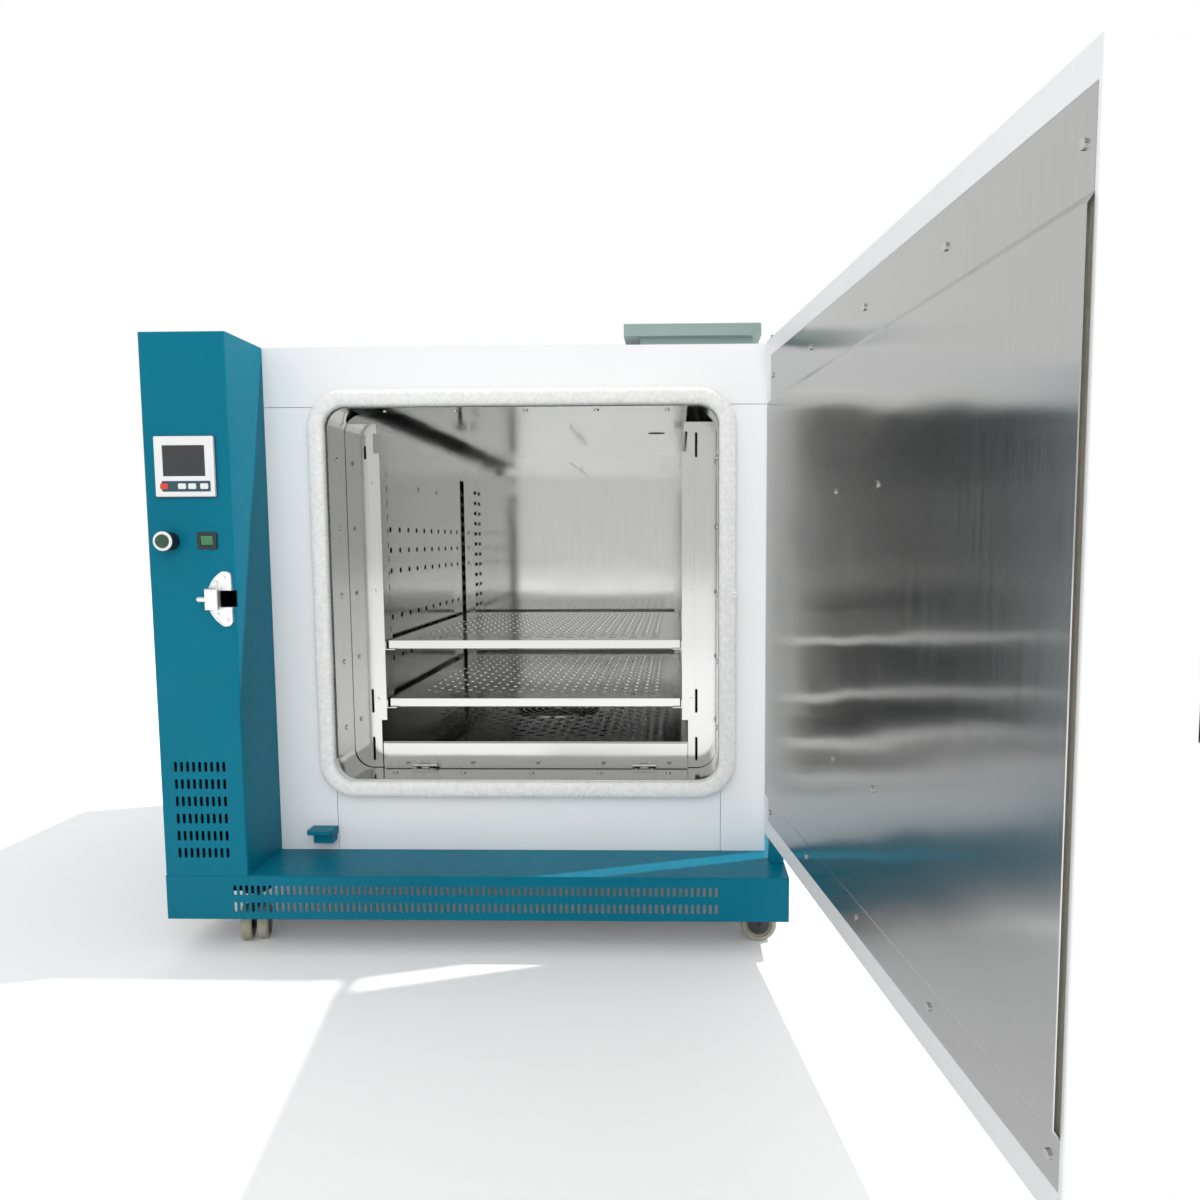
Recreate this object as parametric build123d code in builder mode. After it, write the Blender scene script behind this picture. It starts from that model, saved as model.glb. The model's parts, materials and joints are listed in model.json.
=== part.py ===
"""Forced-air drying oven: a heated stainless chamber in an insulated white cabinet, with a
control column on its left and a full-height door on its right, standing on a vented plinth
with four twin-wheel swivel casters.

Millimetres. +Z is up, +X is to the right seen from the front, and the front faces -Y. The
origin is on the floor, under the middle of the plinth. The door stands open.
"""
import os
from math import cos, hypot, radians, sin

from build123d import *

os.makedirs("parts", exist_ok=True)

# ---------------------------------------------------------------- driving dimensions
# Plinth and floor
plinth_width = 1040.0
plinth_depth = 980.0
plinth_height = 75.0
floor_gap = 62.0            # floor to the plinth's lower edge
skin = 1.5                  # painted steel sheet
steel = 1.2                 # stainless sheet
bend = 3.0                  # outer radius of a folded corner

# Cabinet and control column, measured from the plinth's left end and from its deck
column_width = 139.0
body_width = 873.0
body_height = 889.0
fascia_setback = 125.0      # column front to cabinet front
cabinet_depth = 850.0
seam = 0.8                  # open joint between two fascia plates
plate_gap = 0.2             # joint between two lining plates

# Chamber
throat_width = 680.0
throat_height = 656.0
throat_corner = 36.0
throat_left_inset = 109.0   # cabinet's left side to the opening
throat_sill = 130.0         # deck to the opening
collar_depth = 76.0
chamber_depth = 694.0       # behind the collar
duct_width = 52.0           # air duct on each side of the chamber
duct_height = 626.0
batt_gap = 0.5              # insulation to the sheets around it

# Door
door_length = 870.0         # hinge axis to free edge
door_height = 836.0
door_thickness = 92.0
door_lift = 48.0            # deck to the door's lower edge
door_open_angle = 98.5      # how far the door stands open
hinge_overhang = 16.0       # cabinet's right side to the hinge axis
hinge_depth = 20.0          # door's inner face to the hinge axis
hinge_margin = 12.0         # door material beyond the hinge axis
hinge_pin_radius = 6.0
pin_clearance = 0.08
door_border = 28.0
free_border = 6.0
panel_rise = 6.0            # raised field of the inner panel
gasket_width = 30.0
gasket_proud = 20.0
gasket_clearance = 0.4
running_gap = 0.5

# Shelves
shelf_level = 370.0         # deck to the upper shelf
shelf_spacing = 110.0
shelf_depth = 632.0
shelf_hole = 15.0
shelf_hole_pitch = 41.0
runner_sheet = 1.5
rail_sheet = 1.6

# Casters
wheel_radius = 31.0
tyre_width = 18.0
wheel_gap = 8.0             # between the twin wheels
trail = 18.0
caster_left_inset = 113.0
caster_right_inset = 62.0
caster_front_inset = 80.0
caster_head = 30.0          # mounting plate above the plinth's lower edge
axle_radius = 4.0

# ---------------------------------------------------------------- derived frame
deck = floor_gap + plinth_height
left = -plinth_width / 2
right = plinth_width / 2
front = -plinth_depth / 2
back = plinth_depth / 2
top = deck + body_height
body_left = left + column_width
body_right = body_left + body_width
fascia = front + fascia_setback
cabinet_back = fascia + cabinet_depth

throat_left = body_left + throat_left_inset
throat_right = throat_left + throat_width
sill = deck + throat_sill
lintel = sill + throat_height
middle = (throat_left + throat_right) / 2
half_throat = throat_width / 2
collar_front = fascia + skin
liner_front = collar_front + collar_depth
liner_back = liner_front + chamber_depth
duct_face = liner_front + 3.0
half_duct = half_throat - duct_width

door_face_gap = gasket_proud + gasket_clearance      # fascia to the raised field
border_gap = door_face_gap + panel_rise              # fascia to the door's white border
pivot_x = body_right + hinge_overhang
pivot_y = fascia - border_gap - hinge_depth
door_low = deck + door_lift
door_high = door_low + door_height
door_inner = -hinge_depth
door_outer = door_inner + door_thickness


# ---------------------------------------------------------------- small tools
def slab(x, y, z, mode=Mode.ADD):
    """Square-edged solid between two limits along each axis."""
    with Locations(((x[0] + x[1]) / 2, (y[0] + y[1]) / 2, (z[0] + z[1]) / 2)):
        Box(abs(x[1] - x[0]), abs(y[1] - y[0]), abs(z[1] - z[0]), mode=mode)


def across(side, a, b):
    """X limits of a piece a to b from the chamber's middle plane, on side -1 or +1."""
    return sorted((middle + side * a, middle + side * b))


def facing_front(x, y, z):
    """Plane that faces the front, with its local y upward."""
    return Plane(origin=(x, y, z), x_dir=(1, 0, 0), z_dir=(0, -1, 0))


def facing_side(x, y, z):
    """Plane that faces right, with local x to the back and local y upward."""
    return Plane(origin=(x, y, z), x_dir=(0, 1, 0), z_dir=(1, 0, 0))


def bar(plane, radius, length, mode=Mode.ADD):
    """Round bar that starts on a plane and runs along its normal."""
    with Locations(plane):
        Cylinder(radius, length, align=(Align.CENTER, Align.CENTER, Align.MIN), mode=mode)


# ---------------------------------------------------------------- plinth
slot_width = 5.0
slot_height = 17.0
plinth_slots = 82
plinth_slot_pitch = 9.93
plinth_slot_rows = 2
plinth_row_pitch = 29.0
plinth_slot_shift = -2.0    # the slot field's middle from the plinth's middle
lip = 20.0
fan_back = 326.0            # duct face to the fan's axis
fan_y = duct_face + fan_back
shaft_radius = 7.0
shaft_hole = 11.0

with BuildPart() as plinth_shell:
    slab((left, right), (front, back), (deck - skin, deck))
    slab((left, left + skin), (front + skin + plate_gap, back), (floor_gap, deck - skin - plate_gap))
    slab((right - skin, right), (front + skin + plate_gap, back), (floor_gap, deck - skin - plate_gap))
    slab((left + skin + plate_gap, right - skin - plate_gap), (back - skin, back),
         (floor_gap, deck - skin - plate_gap))
    bar(Plane(origin=(middle, fan_y, deck - 2 * skin)), shaft_hole, 3 * skin, Mode.SUBTRACT)
plinth_shell.part.label = "plinth_shell"
export_step(plinth_shell.part, "parts/plinth_shell.step")

with BuildPart() as plinth_front_panel:
    slab((left + skin, right - skin), (front + skin, front + lip), (floor_gap, floor_gap + skin))
    with BuildSketch(facing_front(0, front + skin, (floor_gap + deck - skin) / 2)):
        Rectangle(plinth_width, plinth_height - skin)
        with Locations((plinth_slot_shift, -skin)):
            with GridLocations(plinth_slot_pitch, plinth_row_pitch, plinth_slots, plinth_slot_rows):
                SlotOverall(slot_height, slot_width, rotation=90, mode=Mode.SUBTRACT)
    extrude(amount=skin, clean=False)
plinth_front_panel.part.label = "plinth_front_panel"
export_step(plinth_front_panel.part, "parts/plinth_front_panel.step")

# Square tubes that carry the deck, and the four plates that the casters bolt to
tube = 40.0
tube_wall = 3.0
plate_thickness = 3.0
plate_size = 70.0
plate_top = floor_gap + caster_head + plate_thickness
caster_x = {"l": left + caster_left_inset, "r": right - caster_right_inset}
caster_y = {"f": front + caster_front_inset, "r": back - caster_front_inset}
motor_radius = 62.0
motor_rail_gap = 12.0


def square_tube(x, y, z):
    """Hollow square tube that runs along its longer horizontal side."""
    slab(x, y, z)
    if x[1] - x[0] > y[1] - y[0]:
        slab(x, (y[0] + tube_wall, y[1] - tube_wall), (z[0] + tube_wall, z[1] - tube_wall), Mode.SUBTRACT)
    else:
        slab((x[0] + tube_wall, x[1] - tube_wall), y, (z[0] + tube_wall, z[1] - tube_wall), Mode.SUBTRACT)


with BuildPart() as chassis_frame:
    tube_z = (plate_top, deck - skin)
    for y in caster_y.values():
        square_tube((left + lip, right - lip), (y - tube / 2, y + tube / 2), tube_z)
    inner_y = (caster_y["f"] + tube / 2 + plate_gap, caster_y["r"] - tube / 2 - plate_gap)
    for x in caster_x.values():
        square_tube((x - tube / 2, x + tube / 2), inner_y, tube_z)
    for side in (-1, 1):
        x = middle + side * (motor_radius + motor_rail_gap + tube / 2)
        square_tube((x - tube / 2, x + tube / 2), inner_y, tube_z)
    for x in caster_x.values():
        for y in caster_y.values():
            slab((x - plate_size / 2, x + plate_size / 2), (y - plate_size / 2, y + plate_size / 2),
                 (plate_top - plate_thickness, plate_top))
chassis_frame.part.label = "chassis_frame"
export_step(chassis_frame.part, "parts/chassis_frame.step")

# ---------------------------------------------------------------- casters
head_radius = 24.0
head_height = 10.0
web = 7.0
web_back = 14.0             # the web's reach behind and before the kingpin
web_front = 20.0
web_heel = 9.0
web_shoulder = 18.0
axle_boss = 12.0
axle_play = 0.1
caster_turn = {"fl": -72.0, "fr": 0.0, "rl": 205.0, "rr": 320.0}
head_low = plate_top - plate_thickness - head_height
tread_round = 5.0
hub_radius = 17.0
hub_dish = 3.0
hub_rim = wheel_radius - 8.0
twin = wheel_gap / 2 + tyre_width

for corner, turn in caster_turn.items():
    kingpin = (caster_x[corner[1]], caster_y[corner[0]], 0)
    base = Plane(origin=kingpin, x_dir=(cos(radians(turn)), sin(radians(turn)), 0), z_dir=(0, 0, 1))
    axle_plane = Plane(origin=base.from_local_coords((trail, twin, wheel_radius)),
                       x_dir=base.x_dir, z_dir=-base.y_dir)

    with BuildPart() as caster_fork:
        bar(base.offset(head_low), head_radius, head_height)
        with BuildSketch(Plane(origin=base.from_local_coords((0, web / 2, 0)), x_dir=base.x_dir,
                               z_dir=-base.y_dir)):
            with BuildLine():
                Polyline((-web_back, head_low), (web_front, head_low),
                         (trail + axle_boss, wheel_radius + web_shoulder), (trail + axle_boss, wheel_radius),
                         (trail - axle_boss, wheel_radius), (-web_back, head_low - web_heel),
                         (-web_back, head_low))
            make_face()
            with Locations((trail, wheel_radius)):
                Circle(axle_boss)
        extrude(amount=web)
        bar(axle_plane, axle_radius, 2 * twin)
    caster_fork.part.label = f"caster_fork_{corner}"
    export_step(caster_fork.part, f"parts/caster_fork_{corner}.step")

    # A wheel is two tyres with dished hubs, one on each side of the fork's web
    with BuildPart() as caster_wheel:
        for start in (0, tyre_width + wheel_gap):
            with BuildSketch(axle_plane.offset(start)):
                Circle(wheel_radius)
                Circle(axle_radius + axle_play, mode=Mode.SUBTRACT)
            extrude(amount=tyre_width)
        rims = caster_wheel.edges().filter_by(GeomType.CIRCLE).filter_by(
            lambda e: e.radius > wheel_radius - 1)
        fillet(rims, tread_round)
        for start in (-1, 2 * twin - hub_dish):
            with BuildSketch(axle_plane.offset(start)):
                Circle(hub_rim)
                Circle(hub_radius, mode=Mode.SUBTRACT)
            extrude(amount=hub_dish + 1, mode=Mode.SUBTRACT)
    caster_wheel.part.label = f"caster_wheel_{corner}"
    export_step(caster_wheel.part, f"parts/caster_wheel_{corner}.step")

# ---------------------------------------------------------------- control column
controller_size = 96.0
controller_x = left + 21.0 + controller_size / 2
controller_z = deck + 628.0 + controller_size / 2
controller_body = 90.0
controller_proud = 7.0
controller_length = 62.0
button_x = left + 38.0
button_z = deck + 557.0
button_ring_radius = 15.5
button_hole_radius = 11.0
button_proud = 24.0
rocker_x = left + 98.0
rocker_z = deck + 557.5
rocker_width = 32.0
rocker_height = 27.0
rocker_body = (28.0, 23.0)
fit_gap = 0.2
keeper_low = deck + 419.0
keeper_height = 89.0
keeper_width = 43.0
notch_width = 27.0
notch_height = 27.0
notch_z = keeper_low + keeper_height / 2
notch_depth = 8.0
vent_x = left + 66.5
vent_rows = 6
vent_columns = 9
vent_column_pitch = 10.1
vent_row_pitch = 29.2
vent_z = deck + 112.0

with BuildPart() as column_front_cover:
    slab((left, body_left), (front, fascia), (deck, top))
    folds = column_front_cover.edges().filter_by(Axis.Z).group_by(Axis.Y)[0]
    crown = column_front_cover.edges().group_by(Axis.Z)[-1].group_by(Axis.Y)[0]
    fillet(folds + crown, bend)
    slab((left + skin, body_left - skin), (front + skin, fascia), (deck, top - skin), Mode.SUBTRACT)
    with BuildSketch(facing_front(0, front, 0)):
        with Locations((vent_x, vent_z)):
            with GridLocations(vent_column_pitch, vent_row_pitch, vent_columns, vent_rows):
                SlotOverall(slot_height, slot_width, rotation=90)
        with Locations((controller_x, controller_z)):
            Rectangle(controller_body + 2 * fit_gap, controller_body + 2 * fit_gap)
        with Locations((button_x, button_z)):
            Circle(button_hole_radius + fit_gap)
        with Locations((rocker_x, rocker_z)):
            Rectangle(rocker_body[0] + 2 * fit_gap, rocker_body[1] + 2 * fit_gap)
    extrude(amount=-2 * skin, mode=Mode.SUBTRACT)
    slab((body_left - notch_width, body_left), (front, front + notch_depth),
         (notch_z - notch_height / 2, notch_z + notch_height / 2), Mode.SUBTRACT)
column_front_cover.part.label = "column_front_cover"
export_step(column_front_cover.part, "parts/column_front_cover.step")

gland_x = left + column_width / 2
gland_z = deck + 70.0
gland_thread_radius = 10.0
gland_bore = 5.0
gland_length = 30.0
rear_slots = 8

with BuildPart() as column_side_panel:
    slab((left, left + skin), (fascia, cabinet_back), (deck, top))
    slab((left + skin + plate_gap, body_left), (cabinet_back - skin, cabinet_back), (deck, top))
    slab((left + skin + plate_gap, body_left), (fascia, cabinet_back - skin - plate_gap), (top - skin, top))
    bar(Plane(origin=(gland_x, cabinet_back + skin, gland_z), z_dir=(0, -1, 0)),
        gland_thread_radius + fit_gap, 3 * skin, Mode.SUBTRACT)
    with BuildSketch(facing_front(gland_x, cabinet_back + skin, top - 80)):
        with GridLocations(vent_column_pitch, vent_row_pitch, rear_slots, 3):
            SlotOverall(slot_height, slot_width, rotation=90)
    extrude(amount=3 * skin, mode=Mode.SUBTRACT)
column_side_panel.part.label = "column_side_panel"
export_step(column_side_panel.part, "parts/column_side_panel.step")

# Panel controller: a square case with a framed screen and a row of four keys under it
screen = (68.5, 49.0)
screen_recess = 2.0
screen_z = controller_z + 9.0
screen_x = controller_x
key_z = controller_z - 31.5
key_slots = {"power": (-33.0, 13.0), "set": (-4.0, 13.0), "down": (12.5, 13.0), "up": (32.0, 13.0)}
key_height = 9.0
key_proud = 1.2
key_travel = 0.8
key_gap = 0.3
key_depth = 4.0

with BuildPart() as controller_case:
    with BuildSketch(facing_front(controller_x, front, controller_z)):
        RectangleRounded(controller_size, controller_size, 2.0)
    extrude(amount=controller_proud)
    chamfer(controller_case.faces().sort_by(Axis.Y)[0].edges(), 1.2)
    slab((controller_x - controller_body / 2, controller_x + controller_body / 2),
         (front, front + controller_length),
         (controller_z - controller_body / 2, controller_z + controller_body / 2))
    face_y = front - controller_proud
    slab((screen_x - screen[0] / 2, screen_x + screen[0] / 2), (face_y - 1, face_y + screen_recess),
         (screen_z - screen[1] / 2, screen_z + screen[1] / 2), Mode.SUBTRACT)
    with BuildSketch(facing_front(controller_x, face_y, key_z)):
        for offset_x, width in key_slots.values():
            with Locations((offset_x, 0)):
                RectangleRounded(width + 2 * key_gap, key_height + 2 * key_gap, 2.5)
    extrude(amount=-(key_depth + key_travel + key_gap), mode=Mode.SUBTRACT)
controller_case.part.label = "controller_case"
export_step(controller_case.part, "parts/controller_case.step")

with BuildPart() as controller_screen:
    slab((screen_x - screen[0] / 2, screen_x + screen[0] / 2),
         (face_y + screen_recess - 1.2, face_y + screen_recess),
         (screen_z - screen[1] / 2, screen_z + screen[1] / 2))
controller_screen.part.label = "controller_screen"
export_step(controller_screen.part, "parts/controller_screen.step")

for key_name, (offset_x, width) in key_slots.items():
    with BuildPart() as controller_key:
        with BuildSketch(facing_front(controller_x + offset_x, face_y - key_proud, key_z)):
            RectangleRounded(width, key_height, 2.2)
        extrude(amount=-(key_proud + key_depth))
        fillet(controller_key.faces().sort_by(Axis.Y)[0].edges(), 0.6)
    controller_key.part.label = f"controller_key_{key_name}"
    export_step(controller_key.part, f"parts/controller_key_{key_name}.step")

# Push button: a turned barrel with a ring, and a cap that slides in it
cap_radius = 10.5
cap_gap = 0.3
cap_proud = 3.0
cap_travel = 3.0
cap_length = 9.0
barrel_wall = 1.5
ring_height = 4.0
barrel_pocket = 14.0

with BuildPart() as start_button_barrel:
    bar(facing_front(button_x, front, button_z), button_ring_radius - 1.0, button_proud - ring_height)
    bar(facing_front(button_x, front - button_proud + ring_height, button_z), button_ring_radius, ring_height)
    fillet(start_button_barrel.faces().sort_by(Axis.Y)[0].edges(), 1.2)
    bar(facing_front(button_x, front + 30, button_z), button_hole_radius, 30)
    bar(facing_front(button_x, front - button_proud + barrel_pocket, button_z), cap_radius + cap_gap,
        barrel_pocket + 1, Mode.SUBTRACT)
start_button_barrel.part.label = "start_button_barrel"
export_step(start_button_barrel.part, "parts/start_button_barrel.step")

with BuildPart() as start_button_cap:
    bar(facing_front(button_x, front - button_proud - cap_proud + cap_length, button_z), cap_radius, cap_length)
    fillet(start_button_cap.faces().sort_by(Axis.Y)[0].edges(), 1.0)
start_button_cap.part.label = "start_button_cap"
export_step(start_button_cap.part, "parts/start_button_cap.step")

# Rocker switch: a framed body, and a lever that tips about a level pin line
rocker_frame_proud = 3.0
rocker_window = (20.0, 17.0)
rocker_tilt = 10.0
rocker_gap = 0.4
rocker_pocket = 12.0

with BuildPart() as rocker_frame:
    with BuildSketch(facing_front(rocker_x, front, rocker_z)):
        RectangleRounded(rocker_width, rocker_height, 2.0)
    extrude(amount=rocker_frame_proud)
    chamfer(rocker_frame.faces().sort_by(Axis.Y)[0].edges(), 0.8)
    slab((rocker_x - rocker_body[0] / 2, rocker_x + rocker_body[0] / 2), (front, front + 24),
         (rocker_z - rocker_body[1] / 2, rocker_z + rocker_body[1] / 2))
    slab((rocker_x - rocker_window[0] / 2, rocker_x + rocker_window[0] / 2),
         (front - rocker_frame_proud - 1, front - rocker_frame_proud + rocker_pocket),
         (rocker_z - rocker_window[1] / 2, rocker_z + rocker_window[1] / 2), Mode.SUBTRACT)
rocker_frame.part.label = "rocker_frame"
export_step(rocker_frame.part, "parts/rocker_frame.step")

rocker_axis_y = front - rocker_frame_proud + 1.0
rocker_arm = rocker_window[1] / 2 - rocker_gap

with BuildPart() as rocker_lever:
    with BuildSketch(facing_side(rocker_x - rocker_window[0] / 2 + rocker_gap, rocker_axis_y, rocker_z)):
        with BuildLine():
            rest = radians(rocker_tilt)
            high = (rocker_arm * sin(-rest), rocker_arm * cos(rest))
            low = (-rocker_arm * sin(-rest) - 1.5, -rocker_arm * cos(rest) + 0.6)
            ThreePointArc(high, (-0.4, 0), low)
            Polyline(low, (low[0] + 4.5, low[1] + 1.2), (6.0, 0), (high[0] + 4.5, high[1] - 1.2), high)
        make_face()
    extrude(amount=rocker_window[0] - 2 * rocker_gap)
rocker_lever.part.label = "rocker_lever"
export_step(rocker_lever.part, "parts/rocker_lever.step")

# Cast keeper: a bowed plate with a notch, a raised bridge and a level adjusting bolt
keeper_plate = 5.0
bridge_height = 20.0
bridge_width = 24.0
bridge_gap = 9.0
bolt_radius = 4.5
bolt_reach = 8.0
bolt_depth = 5.5            # bridge's face to the bolt's axis
keeper_left = body_left - keeper_width
keeper_flat = 14.0          # straight stretch at the plate's top and bottom
keeper_lobe = 9.0
keeper_rim = (2.0, 1.2)
bridge_wall = 4.0
bridge_round = 3.0
keeper_screws = ((-15.5, 34.0), (-28.5, 25.0), (-28.5, -26.0), (-13.0, -35.0))
keeper_screw_head = (3.6, 2.2)
keeper_high = keeper_low + keeper_height
keeper_edge = body_left - bend


with BuildSketch() as keeper_shape:
    with BuildLine():
        Line((keeper_edge, keeper_low), (keeper_edge, keeper_high))
        Line((keeper_edge, keeper_high), (keeper_edge - keeper_flat, keeper_high))
        ThreePointArc((keeper_edge - keeper_flat, keeper_high), (keeper_left, notch_z),
                      (keeper_edge - keeper_flat, keeper_low))
        Line((keeper_edge - keeper_flat, keeper_low), (keeper_edge, keeper_low))
    make_face()
    fillet(keeper_shape.vertices().group_by(Axis.X)[-1], keeper_lobe)

with BuildPart() as latch_keeper:
    with BuildSketch(facing_front(0, front, 0)):
        add(keeper_shape.sketch)
    extrude(amount=keeper_plate)
    with BuildSketch(facing_front(0, front - keeper_plate, 0)):
        add(keeper_shape.sketch)
        offset(keeper_shape.sketch, amount=-keeper_rim[0], mode=Mode.SUBTRACT)
    extrude(amount=keeper_rim[1])
    slab((keeper_left + keeper_rim[0], keeper_left + bridge_width), (front - bridge_height, front - keeper_plate),
         (notch_z - notch_height / 2 - bridge_wall, notch_z + notch_height / 2 + bridge_wall))
    ridge = latch_keeper.faces().sort_by(Axis.Y)[0].edges()
    fillet(ridge, bridge_round)
    slab((body_left - notch_width, body_left), (front - bridge_gap, front + 1),
         (notch_z - notch_height / 2, notch_z + notch_height / 2), Mode.SUBTRACT)
    with Locations(Plane(origin=(keeper_left - bolt_reach, front - bridge_height + bolt_depth, notch_z),
                         z_dir=(1, 0, 0))):
        Cylinder(bolt_radius, bolt_reach + bridge_width - bridge_wall,
                 align=(Align.CENTER, Align.CENTER, Align.MIN))
        Sphere(bolt_radius)
    for screw_x, screw_z in keeper_screws:
        bar(facing_front(body_left + screw_x, front - keeper_plate + plate_gap, notch_z + screw_z),
            *keeper_screw_head)
latch_keeper.part.label = "latch_keeper"
export_step(latch_keeper.part, "parts/latch_keeper.step")

with BuildPart() as cable_gland:
    with Locations(Plane(origin=(gland_x, cabinet_back - 8, gland_z), z_dir=(0, 1, 0))):
        Cylinder(gland_thread_radius, gland_length, align=(Align.CENTER, Align.CENTER, Align.MIN))
    with BuildSketch(Plane(origin=(gland_x, cabinet_back, gland_z), z_dir=(0, 1, 0))):
        RegularPolygon(gland_thread_radius + 4, 6)
    extrude(amount=8)
    with Locations(Plane(origin=(gland_x, cabinet_back - 9, gland_z), z_dir=(0, 1, 0))):
        Cylinder(gland_bore, gland_length + 3, align=(Align.CENTER, Align.CENTER, Align.MIN),
                 mode=Mode.SUBTRACT)
cable_gland.part.label = "cable_gland"
export_step(cable_gland.part, "parts/cable_gland.step")

# ---------------------------------------------------------------- cabinet skins
seam_z = lintel + 2.0       # level joint under the top fascia plate
seam_inset = 5.0            # upright joints below the opening, outside its edge
opening = (throat_width + 2 * steel, throat_height + 2 * steel)
opening_corner = throat_corner + steel
throat_z = (sill + lintel) / 2
seam_x = (throat_left - seam_inset, throat_right + seam_inset)
ear_top = sill + throat_corner + steel


def fascia_plate(limits_x, limits_z):
    """One plate of the cabinet front, cut back around the chamber's rounded opening."""
    centre = ((limits_x[0] + limits_x[1]) / 2, (limits_z[0] + limits_z[1]) / 2)
    with BuildSketch(facing_front(0, fascia + skin, 0)) as outline:
        with Locations(centre):
            Rectangle(limits_x[1] - limits_x[0], limits_z[1] - limits_z[0])
        with Locations((middle, throat_z)):
            RectangleRounded(*opening, opening_corner, mode=Mode.SUBTRACT)
    return outline.sketch


with BuildPart() as fascia_top:
    extrude(fascia_plate((body_left, body_right), (seam_z, top)), amount=skin)
fascia_top.part.label = "fascia_top"
export_step(fascia_top.part, "parts/fascia_top.step")

with BuildPart() as fascia_sides:
    extrude(fascia_plate((body_left, seam_x[0]), (deck, seam_z - seam)), amount=skin)
    extrude(fascia_plate((seam_x[1], body_right), (deck, seam_z - seam)), amount=skin)
fascia_sides.part.label = "fascia_sides"
export_step(fascia_sides.part, "parts/fascia_sides.step")

with BuildPart() as fascia_bottom:
    extrude(fascia_plate((seam_x[0] + seam, seam_x[1] - seam), (deck, ear_top)), amount=skin)
fascia_bottom.part.label = "fascia_bottom"
export_step(fascia_bottom.part, "parts/fascia_bottom.step")

exhaust_x = throat_right - 116.0
exhaust_y = fascia + 381.0
exhaust_radius = 17.5
exhaust_wall = 1.5
probe_x = middle + 11.0
probe_z = deck + 741.0
probe_radius = 3.0

with BuildPart() as roof_panel:
    slab((body_left, body_right), (fascia + skin, cabinet_back), (top - skin, top))
    bar(Plane(origin=(exhaust_x, exhaust_y, top - 2 * skin)), exhaust_radius + exhaust_wall + fit_gap,
        3 * skin, Mode.SUBTRACT)
roof_panel.part.label = "roof_panel"
export_step(roof_panel.part, "parts/roof_panel.step")

with BuildPart() as cabinet_side_panels:
    for edge, inward in ((body_left, skin), (body_right, -skin)):
        slab(sorted((edge, edge + inward)), (fascia + skin, cabinet_back - skin), (deck, top - skin))
cabinet_side_panels.part.label = "cabinet_side_panels"
export_step(cabinet_side_panels.part, "parts/cabinet_side_panels.step")

with BuildPart() as back_panel:
    slab((body_left, body_right), (cabinet_back - skin, cabinet_back), (deck, top - skin))
    with BuildSketch(facing_front((body_left + body_right) / 2, cabinet_back, (deck + top) / 2)):
        with GridLocations(body_width - 60, body_height - 70, 2, 2):
            Circle(5)
        Rectangle(body_width - 140, body_height - 160)
        Rectangle(body_width - 144, body_height - 164, mode=Mode.SUBTRACT)
    extrude(amount=-1.2)
back_panel.part.label = "back_panel"
export_step(back_panel.part, "parts/back_panel.step")

# ---------------------------------------------------------------- chamber
collar_flange = 12.0
with BuildPart() as throat_collar:
    with BuildSketch(facing_front(middle, collar_front + steel, throat_z)):
        RectangleRounded(opening[0] + 2 * collar_flange, opening[1] + 2 * collar_flange,
                         opening_corner + collar_flange)
        RectangleRounded(throat_width, throat_height, throat_corner, mode=Mode.SUBTRACT)
    extrude(amount=steel)
    with BuildSketch(facing_front(middle, liner_front, throat_z)):
        RectangleRounded(*opening, opening_corner)
        RectangleRounded(throat_width, throat_height, throat_corner, mode=Mode.SUBTRACT)
    extrude(amount=collar_depth)
throat_collar.part.label = "throat_collar"
export_step(throat_collar.part, "parts/throat_collar.step")

# Dome screws along the middle of the collar: across its top and bottom, and up its sides
dome_radius = 4.5
dome_height = 2.0
screw_line = collar_front + collar_depth * 0.55
screws_across = 5
screws_up = 5


def dome(plane):
    """Low domed screw head that stands on a plane."""
    with Locations(plane):
        Cylinder(dome_radius, dome_height, align=(Align.CENTER, Align.CENTER, Align.MIN))


with BuildPart() as throat_screws:
    for k in range(screws_across):
        x = middle + (k - (screws_across - 1) / 2) * throat_width / (screws_across + 0.4)
        dome(Plane(origin=(x, screw_line, sill)))
        dome(Plane(origin=(x, screw_line, lintel), x_dir=(1, 0, 0), z_dir=(0, 0, -1)))
    for k in range(screws_up):
        z = throat_z + (k - (screws_up - 1) / 2) * throat_height / (screws_up + 0.4)
        dome(Plane(origin=(throat_left, screw_line, z), z_dir=(1, 0, 0)))
        dome(Plane(origin=(throat_right, screw_line, z), z_dir=(-1, 0, 0)))
    domes = throat_screws.edges().filter_by(GeomType.CIRCLE)
    inner = [e for e in domes if (abs(e.center().X - middle) < half_throat - dome_height / 2
                                  and abs(e.center().Z - throat_z) < throat_height / 2 - dome_height / 2)]
    fillet(inner, dome_height * 0.7)
throat_screws.part.label = "throat_screws"
export_step(throat_screws.part, "parts/throat_screws.step")

gasket_seat = 0.3
with BuildPart() as door_gasket:
    with BuildSketch(facing_front(middle, fascia - gasket_seat, throat_z)):
        RectangleRounded(throat_width + 2 * gasket_width, throat_height + 2 * gasket_width,
                         throat_corner + gasket_width)
        RectangleRounded(throat_width, throat_height, throat_corner, mode=Mode.SUBTRACT)
    extrude(amount=gasket_proud - gasket_seat)
    fillet(door_gasket.faces().sort_by(Axis.Y)[0].edges(), 8.0)
door_gasket.part.label = "door_gasket"
export_step(door_gasket.part, "parts/door_gasket.step")

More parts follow.
